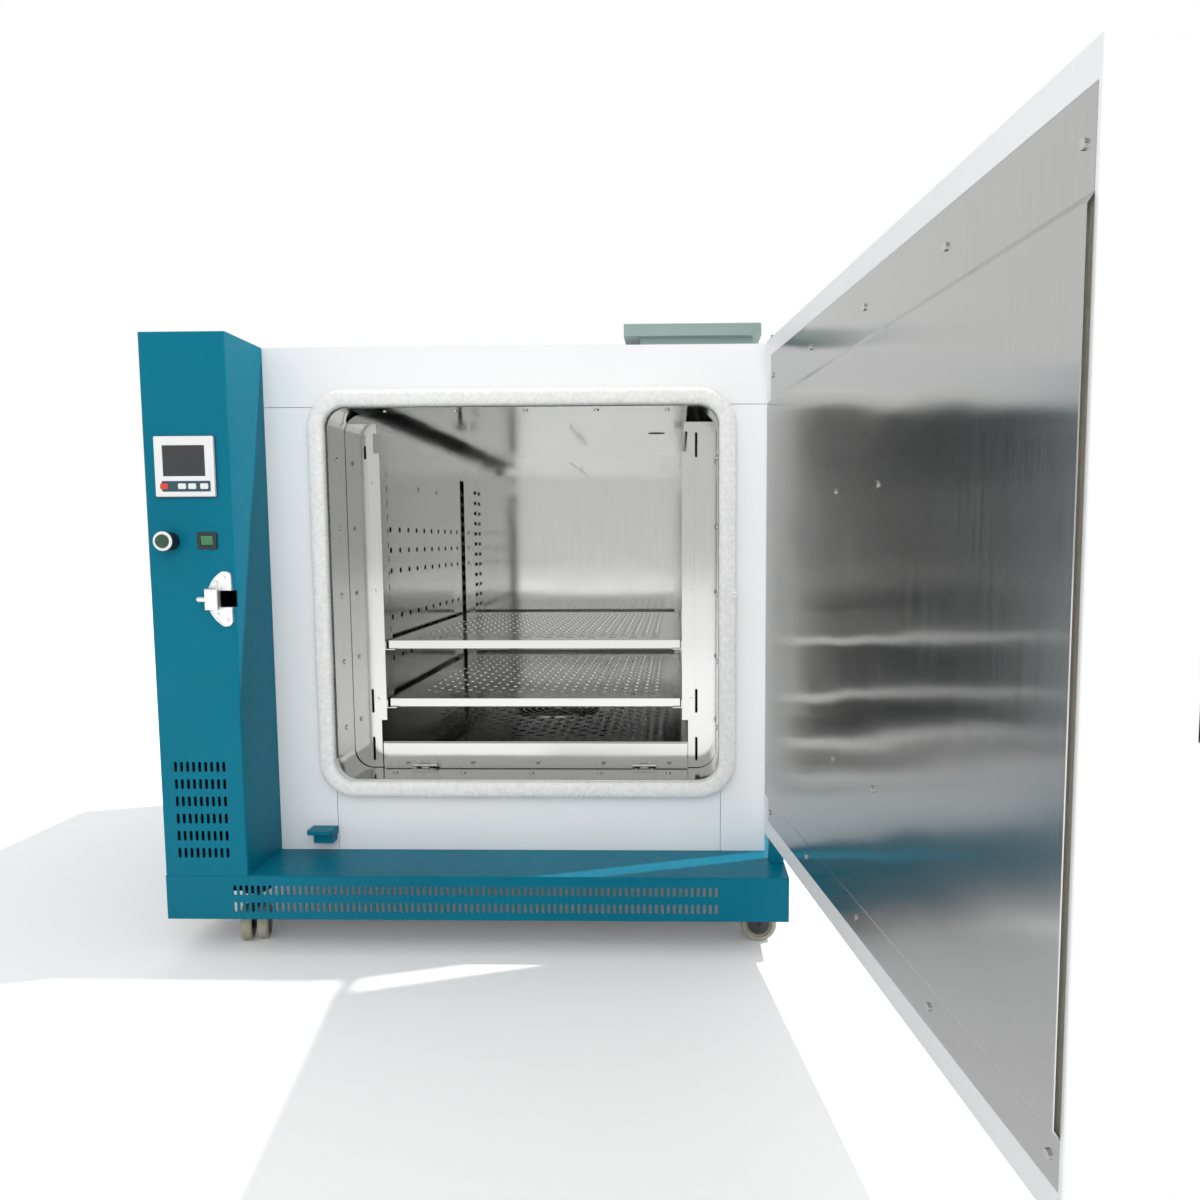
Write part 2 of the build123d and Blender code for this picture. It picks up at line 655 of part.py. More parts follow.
liner_x = (throat_left - steel, throat_right + steel)
with BuildPart() as chamber_liner:
    slab(liner_x, (liner_front, liner_back), (sill - steel, sill))
    slab(liner_x, (liner_front, liner_back), (lintel, lintel + steel))
    for inner_x, outward in ((throat_left, -steel), (throat_right, steel)):
        slab(sorted((inner_x, inner_x + outward)), (liner_front, liner_back),
             (sill + plate_gap, lintel - plate_gap))
    slab(liner_x, (liner_back + plate_gap, liner_back + plate_gap + steel), (sill - steel, lintel + steel))
    bar(Plane(origin=(middle, fan_y, sill - 2 * steel)), shaft_hole, 3 * steel, Mode.SUBTRACT)
    bar(Plane(origin=(exhaust_x, exhaust_y, lintel - steel)), exhaust_radius + exhaust_wall + fit_gap,
        3 * steel, Mode.SUBTRACT)
    bar(facing_front(probe_x, liner_back + 3 * steel, probe_z), probe_radius + fit_gap, 4 * steel,
        Mode.SUBTRACT)
chamber_liner.part.label = "chamber_liner"
export_step(chamber_liner.part, "parts/chamber_liner.step")

batt_front = collar_front + steel + batt_gap
batt_inner_low = sill - steel - batt_gap
batt_inner_high = lintel + steel + batt_gap
batt_left = body_left + skin + batt_gap
batt_right = body_right - skin - batt_gap
batt_back = liner_back + plate_gap + steel + batt_gap
batt_hole = 4.0

with BuildPart() as insulation_batts:
    slab((batt_left, batt_right), (batt_front, cabinet_back - skin - batt_gap),
         (deck + batt_gap, batt_inner_low))
    slab((batt_left, batt_right), (batt_front, cabinet_back - skin - batt_gap),
         (batt_inner_high, top - skin - batt_gap))
    side_z = (batt_inner_low + batt_gap, batt_inner_high - batt_gap)
    slab((batt_left, liner_x[0] - batt_gap), (batt_front, batt_back), side_z)
    slab((liner_x[1] + batt_gap, batt_right), (batt_front, batt_back), side_z)
    slab((batt_left, batt_right), (batt_back + batt_gap, cabinet_back - skin - batt_gap), side_z)
    bar(Plane(origin=(middle, fan_y, deck)), shaft_hole + batt_hole, throat_sill, Mode.SUBTRACT)
    bar(Plane(origin=(exhaust_x, exhaust_y, lintel)), exhaust_radius + exhaust_wall + batt_gap,
        top - lintel, Mode.SUBTRACT)
    bar(facing_front(probe_x, cabinet_back, probe_z), probe_radius + batt_gap, cabinet_back - liner_back,
        Mode.SUBTRACT)
insulation_batts.part.label = "insulation_batts"
export_step(insulation_batts.part, "parts/insulation_batts.step")

# Air ducts: an upright wall with rows of slots, folded outward at the front into a flange
flange_slot = (4.5, 45.0)
flange_slot_levels = (598.0, 127.0, 36.0)
flange_slot_inset = 15.5    # duct wall to the flange's slots
air_slot = (14.0, 10.0)
air_pitch = (56.0, 40.0)
air_columns = 11
air_middle_y = duct_face + 361.0
air_groups = ((408.0, 3), (238.0, 3))
sensor_holes = ((duct_face + 269.0, 537.0), (duct_face + 407.0, 537.0))
sensor_hole = 4.5
duct_floor_gap = 1.0
duct_low = sill + duct_floor_gap
duct_high = sill + duct_height
clip_width = 58.0
clip_height = 17.0
clip_rise = 13.0            # the clip stands above the duct's top edge
clip_lip = 10.0
clip_screw_inset = 14.0
small_screw = 3.5

for side, side_name in ((-1, "left"), (1, "right")):
    with BuildPart() as duct_panel:
        flange_x = across(side, half_duct, half_throat - running_gap)
        with BuildSketch(facing_front(0, duct_face + steel, 0)):
            with Locations(((flange_x[0] + flange_x[1]) / 2, (duct_low + duct_high) / 2)):
                Rectangle(flange_x[1] - flange_x[0], duct_high - duct_low)
            for level in flange_slot_levels:
                with Locations((middle + side * (half_duct + flange_slot_inset), sill + level)):
                    SlotOverall(flange_slot[1], flange_slot[0], rotation=90, mode=Mode.SUBTRACT)
        extrude(amount=steel)
        wall_x = middle + side * half_duct
        with BuildSketch(facing_side(wall_x, 0, 0)):
            with Locations(((duct_face + steel + liner_back) / 2, (duct_low + duct_high) / 2)):
                Rectangle(liner_back - duct_face - steel - running_gap, duct_high - duct_low)
            for level, rows in air_groups:
                with Locations((air_middle_y, sill + level)):
                    with GridLocations(air_pitch[0], air_pitch[1], air_columns, rows):
                        SlotOverall(air_slot[0], air_slot[1], mode=Mode.SUBTRACT)
            for hole_y, level in sensor_holes:
                with Locations((hole_y, sill + level)):
                    Circle(sensor_hole, mode=Mode.SUBTRACT)
        extrude(amount=side * steel)
        clip_x = across(side, half_throat - running_gap - clip_width, half_throat - running_gap)
        clip_high = duct_high + clip_rise
        slab(clip_x, (duct_face - steel, duct_face), (clip_high - clip_height, clip_high))
        slab(clip_x, (duct_face - steel, duct_face + clip_lip), (clip_high - steel, clip_high))
        bar(facing_front(middle + side * (half_throat - clip_screw_inset), duct_face - steel,
                         clip_high - clip_height / 2), small_screw, dome_height)
    duct_panel.part.label = f"duct_panel_{side_name}"
    export_step(duct_panel.part, f"parts/duct_panel_{side_name}.step")

# Slotted angle rails: two screwed to the ducts' flanges, two against the rear wall
rail_low = deck + 221.0
rail_high = deck + 716.0
rail_face = 23.0            # flange that faces the front
front_rail_depth = 44.0
rear_rail_depth = 46.0
ladder_pitch = 26.5
ladder_slots = 17
ladder_slot = (30.0, 9.0)
rail_screw_levels = (0.08, 0.49, 0.89)
rail_screw_inset = 17.0
rail_inner = half_duct - 11.0       # chamber's middle plane to the slotted flanges
rear_rail_inner = half_duct - 28.0
rail_mid = (rail_low + rail_high) / 2
rear_rail_front = liner_back - running_gap - rear_rail_depth

with BuildPart() as rack_rails:
    for side in (-1, 1):
        for inner, y_face, depth in ((rail_inner, duct_face - rail_sheet, front_rail_depth),
                                     (rear_rail_inner, rear_rail_front, rear_rail_depth)):
            slab(across(side, inner, inner + rail_face), (y_face, y_face + rail_sheet), (rail_low, rail_high))
            slab(across(side, inner, inner + rail_sheet), (y_face + rail_sheet, y_face + depth),
                 (rail_low, rail_high))
        for share in rail_screw_levels:
            z = rail_low + share * (rail_high - rail_low)
            bar(facing_front(middle + side * (rail_inner + rail_screw_inset), duct_face - rail_sheet, z),
                small_screw, dome_height)
    with BuildSketch(facing_side(middle, 0, 0)):
        for y_middle in (duct_face + front_rail_depth / 2, rear_rail_front + rear_rail_depth / 2 + rail_sheet):
            with Locations((y_middle, rail_mid)):
                with GridLocations(1, ladder_pitch, 1, ladder_slots):
                    SlotOverall(*ladder_slot)
    extrude(amount=half_duct, both=True, mode=Mode.SUBTRACT)
rack_rails.part.label = "rack_rails"
export_step(rack_rails.part, "parts/rack_rails.step")

# Angle runners that join the front and back rails; a shelf's folded rims stand on them
shelf_levels = {"upper": deck + shelf_level, "lower": deck + shelf_level - shelf_spacing}
slide_gap = 0.1
side_play = 2.4
runner_leg = 18.0
runner_rise = 14.0
shelf_front = duct_face + 8.0
shelf_half = rail_inner - runner_sheet - side_play
rim_height = 15.0
rim_fold = 9.0

with BuildPart() as shelf_runners:
    for level in shelf_levels.values():
        runner_top = level - rim_height - slide_gap
        for side in (-1, 1):
            reach = (duct_face, rear_rail_front)
            slab(across(side, rail_inner - runner_leg, rail_inner), reach,
                 (runner_top - runner_sheet, runner_top))
            slab(across(side, rail_inner - runner_sheet, rail_inner), reach,
                 (runner_top, runner_top + runner_rise))
shelf_runners.part.label = "shelf_runners"
export_step(shelf_runners.part, "parts/shelf_runners.step")

shelf_margin = 30.0


def staggered(width, depth, pitch, keep_off=0.0):
    """Centres of two nested square grids of holes, none within keep_off of the middle."""
    centres = []
    for shift in (0, 1):
        columns = int(width / pitch) - shift
        rows = int(depth / pitch) - shift
        for i in range(columns):
            for j in range(rows):
                x = (i - (columns - 1) / 2) * pitch
                y = (j - (rows - 1) / 2) * pitch
                if hypot(x, y) >= keep_off:
                    centres.append((x, y))
    return centres


for shelf_name, level in shelf_levels.items():
    with BuildPart() as shelf:
        rear_edge = shelf_front + shelf_depth
        rim_x = across(1, -shelf_half, shelf_half)
        rim_z = (level - rim_height, level - steel)
        slab(rim_x, (shelf_front, shelf_front + steel), rim_z)
        slab(rim_x, (shelf_front, shelf_front + rim_fold), (rim_z[0], rim_z[0] + steel))
        slab(rim_x, (rear_edge - steel, rear_edge), rim_z)
        for side in (-1, 1):
            slab(across(side, shelf_half - steel, shelf_half), (shelf_front, rear_edge), rim_z)
        with BuildSketch(Plane(origin=(middle, shelf_front + shelf_depth / 2, level - steel))):
            Rectangle(2 * shelf_half, shelf_depth)
            with Locations(*staggered(2 * shelf_half - shelf_margin, shelf_depth - shelf_margin,
                                      shelf_hole_pitch)):
                Circle(shelf_hole / 2, mode=Mode.SUBTRACT)
        extrude(amount=steel, clean=False)
    shelf.part.label = f"shelf_{shelf_name}"
    export_step(shelf.part, f"parts/shelf_{shelf_name}.step")

# Perforated floor over the fan, with a round wire guard in its middle
floor_level = deck + 178.0
floor_front = duct_face + 5.0
floor_back = liner_back - 2.0
floor_half = half_duct - running_gap
guard_radius = 92.0
guard_pitch = 14.0
wire = 3.0

guard_land = 6.0
floor_middle = (floor_front + floor_back) / 2

with BuildPart() as floor_plate:
    with BuildSketch(Plane(origin=(middle, fan_y, floor_level - steel))):
        for k in range(int(guard_radius / guard_pitch) + 1):
            ring = guard_radius + wire / 2 - k * guard_pitch
            Circle(ring)
            Circle(max(ring - wire, 0.5), mode=Mode.SUBTRACT)
        with PolarLocations(0, 3, angular_range=180):
            Rectangle(2 * guard_radius, wire)
    extrude(amount=wire)
    floor_x = across(1, -floor_half, floor_half)
    slab(floor_x, (floor_front, floor_front + steel), (sill, floor_level - steel))
    for side in (-1, 1):
        slab(across(side, floor_half - steel, floor_half), (floor_front, floor_back),
             (sill, floor_level - steel))
    with BuildSketch(Plane(origin=(middle, floor_middle, floor_level - steel))):
        Rectangle(2 * floor_half, floor_back - floor_front)
        with Locations(*staggered(2 * floor_half - shelf_margin, floor_back - floor_front - shelf_margin,
                                  shelf_hole_pitch, guard_radius + guard_land + shelf_hole / 2)):
            Circle(shelf_hole / 2, mode=Mode.SUBTRACT)
        with Locations((0, fan_y - floor_middle)):
            Circle(guard_radius, mode=Mode.SUBTRACT)
    extrude(amount=steel, clean=False)
floor_plate.part.label = "floor_plate"
export_step(floor_plate.part, "parts/floor_plate.step")

# Centrifugal fan: a back plate, swept blades and a shaft down to the motor
blade_count = 16
fan_radius = 108.0
blade_height = 28.0
fan_low = sill + 7.0
blade_inner = 62.0
motor_top = deck - skin - 2.0
motor_height = 50.0
motor_round = 6.0
motor_strap = (50.0, 6.0)   # width and thickness
strap_drop = 8.0            # below the motor's top
fan_plate = 2.0
fan_hub = (16.0, 18.0)
blade_sheet = 1.6
blade_twist = 25.0
shaft_in_motor = 20.0
shaft_in_hub = 10.0

with BuildPart() as impeller:
    with Locations((middle, fan_y, fan_low)):
        Cylinder(fan_radius, fan_plate, align=(Align.CENTER, Align.CENTER, Align.MIN))
        Cylinder(*fan_hub, align=(Align.CENTER, Align.CENTER, Align.MIN))
    with BuildSketch(Plane(origin=(middle, fan_y, fan_low))):
        with PolarLocations((blade_inner + fan_radius) / 2, blade_count):
            Rectangle(fan_radius - blade_inner, blade_sheet, rotation=blade_twist)
    extrude(amount=blade_height)
    bar(Plane(origin=(middle, fan_y, motor_top - shaft_in_motor)), shaft_radius,
        fan_low + shaft_in_hub - motor_top + shaft_in_motor)
impeller.part.label = "impeller"
export_step(impeller.part, "parts/impeller.step")

with BuildPart() as fan_motor:
    with Locations((middle, fan_y, motor_top - motor_height)):
        Cylinder(motor_radius, motor_height, align=(Align.CENTER, Align.CENTER, Align.MIN))
    fillet(fan_motor.edges().sort_by(Axis.Z)[0], motor_round)
    slab((middle - motor_radius - motor_rail_gap, middle + motor_radius + motor_rail_gap),
         (fan_y - motor_strap[0] / 2, fan_y + motor_strap[0] / 2),
         (motor_top - strap_drop - motor_strap[1], motor_top - strap_drop))
    bar(Plane(origin=(middle, fan_y, motor_top - shaft_in_motor - motor_round)),
        shaft_radius + pin_clearance, motor_height, Mode.SUBTRACT)
fan_motor.part.label = "fan_motor"
export_step(fan_motor.part, "parts/fan_motor.step")

# Hairpin heaters that stand in the side ducts
heater_radius = 4.0
heater_span = 30.0
heater_height = 460.0
heaters_per_side = 4
heater_pitch = 130.0

with BuildPart() as heating_elements:
    for side in (-1, 1):
        for k in range(heaters_per_side):
            x = middle + side * (half_duct + duct_width / 2)
            y = fan_y + (k - (heaters_per_side - 1) / 2) * heater_pitch
            base = facing_side(x, y, sill)
            with BuildLine(base) as hairpin:
                Line((-heater_span, 0), (-heater_span, heater_height))
                ThreePointArc((-heater_span, heater_height), (0, heater_height + heater_span),
                              (heater_span, heater_height))
                Line((heater_span, heater_height), (heater_span, 0))
            with BuildSketch(Plane(origin=(x, y - heater_span, sill))):
                Circle(heater_radius)
            sweep(path=hairpin.line)
heating_elements.part.label = "heating_elements"
export_step(heating_elements.part, "parts/heating_elements.step")

# Front flap over the fan space, on two butt hinges along its lower edge
flap_half = half_duct - 2.0
flap_low = sill + 4.0
flap_high = deck + 176.0
flap_axis_y = duct_face - 4.0
flap_axis_z = sill + 5.0
barrel_radius = 3.2
flap_pin_radius = 1.3
barrel_length = 44.0
knuckle = barrel_length / 3
leaf = 1.0
leaf_length = 18.0
flap_hinge_x = (middle - 206.0, middle + 206.0)
flap_fold = 4.0
leaf_rise = (1.8, 3.0, 14.0)        # heights of the moving leaf's bends over the axis
leaf_web = 1.5
leaf_screw = (2.8, 1.2)
leaf_screw_x = 15.0


def knuckle_on(x, length, bore=True):
    """One knuckle of a butt hinge, from x toward +X on the flap's axis."""
    plane = Plane(origin=(x, flap_axis_y, flap_axis_z), z_dir=(1, 0, 0))
    bar(plane, barrel_radius, length)
    if bore:
        bar(plane.offset(-1), flap_pin_radius + pin_clearance, length + 2, Mode.SUBTRACT)


with BuildPart() as access_flap:
    slab(across(1, -flap_half, flap_half), (duct_face, duct_face + steel), (flap_low, flap_high))
    slab(across(1, -flap_half, flap_half), (duct_face, duct_face + flap_fold), (flap_high - steel, flap_high))
    for x in flap_hinge_x:
        for start in (x - barrel_length / 2, x + knuckle / 2 + plate_gap):
            length = knuckle - plate_gap
            low, bend_high, high = (flap_axis_z + rise for rise in leaf_rise)
            slab((start, start + length), (flap_axis_y, duct_face), (low, bend_high))
            slab((start, start + length), (duct_face - leaf, duct_face), (low, high))
            knuckle_on(start, length)
access_flap.part.label = "access_flap"
export_step(access_flap.part, "parts/access_flap.step")

with BuildPart() as flap_hinges:
    for x in flap_hinge_x:
        leaf_edge = flap_axis_y - barrel_radius - 1
        knuckle_x = (x - knuckle / 2, x + knuckle / 2)
        slab((x - barrel_length / 2, x + barrel_length / 2),
             (flap_axis_y - barrel_radius - leaf_length, leaf_edge), (sill, sill + leaf))
        slab(knuckle_x, (leaf_edge, flap_axis_y), (sill, sill + leaf))
        slab(knuckle_x, (flap_axis_y - leaf_web, flap_axis_y + leaf_web), (sill, flap_axis_z))
        knuckle_on(knuckle_x[0], knuckle, bore=False)
        bar(Plane(origin=(x - barrel_length / 2, flap_axis_y, flap_axis_z), z_dir=(1, 0, 0)),
            flap_pin_radius, barrel_length)
        for screw_x in (x - leaf_screw_x, x + leaf_screw_x):
            bar(Plane(origin=(screw_x, flap_axis_y - barrel_radius - leaf_length / 2, sill + leaf)),
                *leaf_screw)
flap_hinges.part.label = "flap_hinges"
export_step(flap_hinges.part, "parts/flap_hinges.step")

probe_length = 200.0
with BuildPart() as temperature_probe:
    bar(facing_front(probe_x, cabinet_back - skin - batt_gap - 2, probe_z), probe_radius,
        cabinet_back - skin - batt_gap - 2 - liner_back + probe_length)
    with BuildSketch(facing_front(probe_x, liner_back, probe_z)):
        RegularPolygon(11, 6)
    extrude(amount=9)
    bar(facing_front(probe_x, liner_back - 9, probe_z), 7, 7)
temperature_probe.part.label = "temperature_probe"
export_step(temperature_probe.part, "parts/temperature_probe.step")

# ---------------------------------------------------------------- exhaust hood
hood_left = body_right - 251.0
hood_right = body_right - 3.0
hood_front = fascia + 80.0
hood_depth = 400.0
lid_height = 22.0
neck_height = 33.0
neck_inset_left = 29.0
neck_inset_right = 15.0
neck_wall = 2.0

with BuildPart() as vent_neck:
    neck_x = (hood_left + neck_inset_left, hood_right - neck_inset_right)
    neck_y = (hood_front + neck_inset_right, hood_front + hood_depth - neck_inset_right)
    slab(neck_x, neck_y, (top, top + neck_height))
    slab((neck_x[0] + neck_wall, neck_x[1] - neck_wall), (neck_y[0] + neck_wall, neck_y[1] - neck_wall),
         (top, top + neck_height), Mode.SUBTRACT)
    with BuildSketch(facing_side((neck_x[0] + neck_x[1]) / 2, (neck_y[0] + neck_y[1]) / 2, top + neck_height / 2)):
        with GridLocations(18, 1, 16, 1):
            SlotOverall(slot_height, slot_width, rotation=90)
    extrude(amount=hood_depth, both=True, mode=Mode.SUBTRACT)
    with Locations((exhaust_x, exhaust_y, lintel)):
        Cylinder(exhaust_radius + exhaust_wall, top - lintel + 12,
                 align=(Align.CENTER, Align.CENTER, Align.MIN))
        Cylinder(exhaust_radius, top - lintel + 12, align=(Align.CENTER, Align.CENTER, Align.MIN),
                 mode=Mode.SUBTRACT)
vent_neck.part.label = "vent_neck"
export_step(vent_neck.part, "parts/vent_neck.step")

with BuildPart() as vent_lid:
    slab((hood_left, hood_right), (hood_front, hood_front + hood_depth),
         (top + neck_height, top + neck_height + lid_height))
    fillet(vent_lid.edges().filter_by(Axis.Z), 4)
    fillet(vent_lid.faces().sort_by(Axis.Z)[-1].edges(), 2)
    slab((hood_left + skin, hood_right - skin), (hood_front + skin, hood_front + hood_depth - skin),
         (top + neck_height + skin, top + neck_height + lid_height - skin), Mode.SUBTRACT)
vent_lid.part.label = "vent_lid"
export_step(vent_lid.part, "parts/vent_lid.step")

# ---------------------------------------------------------------- door
# In the door's own frame x runs from the hinge axis to the free edge and y runs outward
open_turn = radians(door_open_angle)
door_frame = Plane(origin=(pivot_x, pivot_y, 0), x_dir=(-cos(open_turn), -sin(open_turn), 0),
                   z_dir=(0, 0, 1))
window_u = (-hinge_margin + door_border, door_length - free_border)
window_z = (door_low + door_border, door_high - door_border)
bush_radius = 9.0
bush_length = 18.0

with BuildPart(door_frame) as door_outer_skin:
    slab((-hinge_margin, door_length), (door_inner, door_outer), (door_low, door_high))
    fillet(door_outer_skin.edges().filter_by(Axis.Z), bend)
    slab((-hinge_margin + skin, door_length - skin), (door_inner + skin, door_outer - skin),
         (door_low + skin, door_high - skin), Mode.SUBTRACT)
    slab(window_u, (door_inner - 1, door_inner + skin), window_z, Mode.SUBTRACT)
    for z in (door_low, door_high - bush_length):
        with Locations((0, 0, z)):
            Cylinder(bush_radius, bush_length, align=(Align.CENTER, Align.CENTER, Align.MIN))
            Cylinder(hinge_pin_radius + pin_clearance, bush_length,
                     align=(Align.CENTER, Align.CENTER, Align.MIN), mode=Mode.SUBTRACT)
door_outer_skin.part.label = "door_outer_skin"
export_step(door_outer_skin.part, "parts/door_outer_skin.step")

# The inner panel's field is folded up between a lower and an upper strip
strip_low = 40.0
strip_high = 70.0
slope = 8.0
panel_edge = 0.3

with BuildPart() as door_inner_panel:
    start = door_frame.from_local_coords((window_u[0] + panel_edge, 0, 0))
    with BuildSketch(Plane(origin=start, x_dir=door_frame.y_dir, z_dir=door_frame.x_dir)):
        with BuildLine():
            low, high = window_z[0] + panel_edge, window_z[1] - panel_edge
            field = door_inner - panel_rise
            folds = [(door_inner, low), (door_inner, low + strip_low), (field, low + strip_low + slope),
                     (field, high - strip_high - slope), (door_inner, high - strip_high), (door_inner, high)]
            behind = [(v + steel, z) for v, z in reversed(folds)]
            Polyline(*folds, *behind, folds[0])
        make_face()
    extrude(amount=window_u[1] - window_u[0] - 2 * panel_edge)
door_inner_panel.part.label = "door_inner_panel"
export_step(door_inner_panel.part, "parts/door_inner_panel.step")

with BuildPart(door_frame) as door_insulation:
    slab((bush_radius + batt_gap, door_length - skin - batt_gap),
         (door_inner + skin + batt_gap, door_outer - skin - batt_gap),
         (door_low + skin + batt_gap, door_high - skin - batt_gap))
door_insulation.part.label = "door_insulation"
export_step(door_insulation.part, "parts/door_insulation.step")

strip_screws = 5
rivet_u = (363.0, 503.0)
rivet_z = (deck + 274.0, deck + 615.0)
screw_margin = 14.0
door_screw_radius = 4.0
facing_in = -door_frame.y_dir


def door_screw(u, v, z):
    """Domed screw head on the door's inner side."""
    with Locations(Plane(origin=door_frame.from_local_coords((u, v, z)), z_dir=facing_in)):
        Cylinder(door_screw_radius, dome_height, align=(Align.CENTER, Align.CENTER, Align.MIN))


with BuildPart() as door_screws:
    for k in range(strip_screws):
        span = window_u[1] - window_u[0] - 2 * screw_margin
        u = window_u[0] + screw_margin + k * span / (strip_screws - 1)
        door_screw(u, door_inner, window_z[0] + strip_low / 2)
        door_screw(u, door_inner, window_z[1] - strip_high / 2)
    for u in rivet_u:
        for z in rivet_z:
            door_screw(u, door_inner - panel_rise, z)
door_screws.part.label = "door_screws"
export_step(door_screws.part, "parts/door_screws.step")

# Pivot brackets: a block on the deck under the door, and an arm off the cabinet over it
pin_reach = 14.0
bracket_gap = 1.0
arm_thickness = 4.0
arm_half = 14.0
arm_flange = 3.0
arm_back = 60.0
arm_drop = 40.0
arm_beyond = 11.0           # past the hinge's axis
bracket_round = 3.0

with BuildPart() as door_hinges:
    slab((pivot_x - arm_half, pivot_x + arm_beyond), (pivot_y - arm_half, pivot_y + arm_half),
         (deck, door_low - bracket_gap))
    fillet(door_hinges.edges().filter_by(Axis.Z), bracket_round)
    bar(Plane(origin=(pivot_x, pivot_y, door_low - bracket_gap)), hinge_pin_radius, pin_reach + bracket_gap)
    arm_low = door_high + bracket_gap
    slab((body_right, pivot_x + arm_beyond), (pivot_y - arm_half, fascia + arm_back),
         (arm_low, arm_low + arm_thickness))
    slab((body_right, body_right + arm_flange), (fascia + 2, fascia + arm_back), (arm_low - arm_drop, arm_low))
    bar(Plane(origin=(pivot_x, pivot_y, door_high - pin_reach)), hinge_pin_radius, pin_reach + bracket_gap)
door_hinges.part.label = "door_hinges"
export_step(door_hinges.part, "parts/door_hinges.step")

# Latch case, sliding tongue and turning lever on the door's outer face
case_u = (door_length - 90.0, door_length)
case_depth = 23.0
case_height = 110.0
tongue_width = 17.0
tongue_thickness = 10.0
tongue_v = door_outer + 3.0
tongue_reach = 12.0         # beyond the free edge when drawn back
tongue_length = 66.0
tongue_travel = 31.0
channel_gap = 0.3
lever_u = door_length - 50.0
lever_hub = 16.0
lever_shaft = 7.0
lever_length = 125.0
lever_width = 20.0
lever_thickness = 9.0
case_front = door_outer + case_depth
case_round = 6.0
case_wall = 10.0
shaft_depth = 7.0
tongue_bevel = 2.0
lever_stand = 7.0           # hub's height under the lever
lever_round = 2.5

with BuildPart(door_frame) as handle_base:
    slab(case_u, (door_outer, case_front), (notch_z - case_height / 2, notch_z + case_height / 2))
    fillet(handle_base.edges().filter_by(lambda e: e.length < case_depth + 1
                                         and e.length > case_depth - 1), case_round)
    slab((case_u[0] + case_wall, case_u[1] + 1),
         (tongue_v - channel_gap, tongue_v + tongue_thickness + channel_gap),
         (notch_z - tongue_width / 2 - channel_gap, notch_z + tongue_width / 2 + channel_gap), Mode.SUBTRACT)
    bar(Plane(origin=(lever_u, case_front - shaft_depth, notch_z), z_dir=(0, 1, 0)),
        lever_shaft + pin_clearance, shaft_depth + 1, Mode.SUBTRACT)
handle_base.part.label = "handle_base"
export_step(handle_base.part, "parts/handle_base.step")

with BuildPart(door_frame) as latch_tongue:
    tip = door_length + tongue_reach
    slab((tip - tongue_length, tip), (tongue_v, tongue_v + tongue_thickness),
         (notch_z - tongue_width / 2, notch_z + tongue_width / 2))
    ends = latch_tongue.faces().sort_by(door_frame.location.x_axis)[-1].edges()
    chamfer(ends, tongue_bevel)
latch_tongue.part.label = "latch_tongue"
export_step(latch_tongue.part, "parts/latch_tongue.step")

with BuildPart() as handle_lever:
    hub = Plane(origin=door_frame.from_local_coords((lever_u, case_front + running_gap, notch_z)),
                x_dir=-door_frame.x_dir, z_dir=door_frame.y_dir)
    bar(hub, lever_hub, lever_thickness + lever_stand)
    with BuildSketch(hub.offset(lever_stand)):
        with Locations((0, -lever_length / 2)):
            RectangleRounded(lever_width, lever_length + lever_width, lever_width / 2 - 0.5)
    extrude(amount=lever_thickness)
    bar(hub.offset(1 - shaft_depth), lever_shaft, shaft_depth)
    fillet(handle_lever.faces().sort_by(door_frame.location.y_axis)[-1].edges(), lever_round)
handle_lever.part.label = "handle_lever"
export_step(handle_lever.part, "parts/handle_lever.step")

# Hooded rest that takes the weight of the closed door's free end
rest_x = body_left + 59.0
rest_width = 45.0
rest_reach = 33.0
rest_lip = 7.0
rest_gap = 4.0
rest_round = 6.0
rib_inset = (9.0, 2.0)
rib_reach = 22.0
rib_height = 25.0

with BuildPart() as door_rest_bracket:
    with BuildSketch(facing_side(rest_x, 0, 0)):
        with BuildLine():
            rest_top = door_low - rest_gap
            Polyline((fascia, rest_top), (fascia - rest_reach, rest_top),
                     (fascia - rest_reach, rest_top - rest_lip), (fascia, rest_top - 2 * rest_lip),
                     (fascia, rest_top))
        make_face()
    extrude(amount=rest_width)
    fillet(door_rest_bracket.edges().filter_by(Axis.Z).sort_by(Axis.Y)[:2], rest_round)
    slab((rest_x + rib_inset[0], rest_x + rest_width - rib_inset[1]), (fascia - rib_reach, fascia),
         (rest_top - rib_height, rest_top - rest_lip))
door_rest_bracket.part.label = "door_rest_bracket"
export_step(door_rest_bracket.part, "parts/door_rest_bracket.step")
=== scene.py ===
"""Looks of the forced-air drying oven: finishes, the braided door seal, stage, light and camera."""
import json
from math import cos, pi, radians, sin

import bpy
import numpy as np
from mathutils import Matrix, Vector


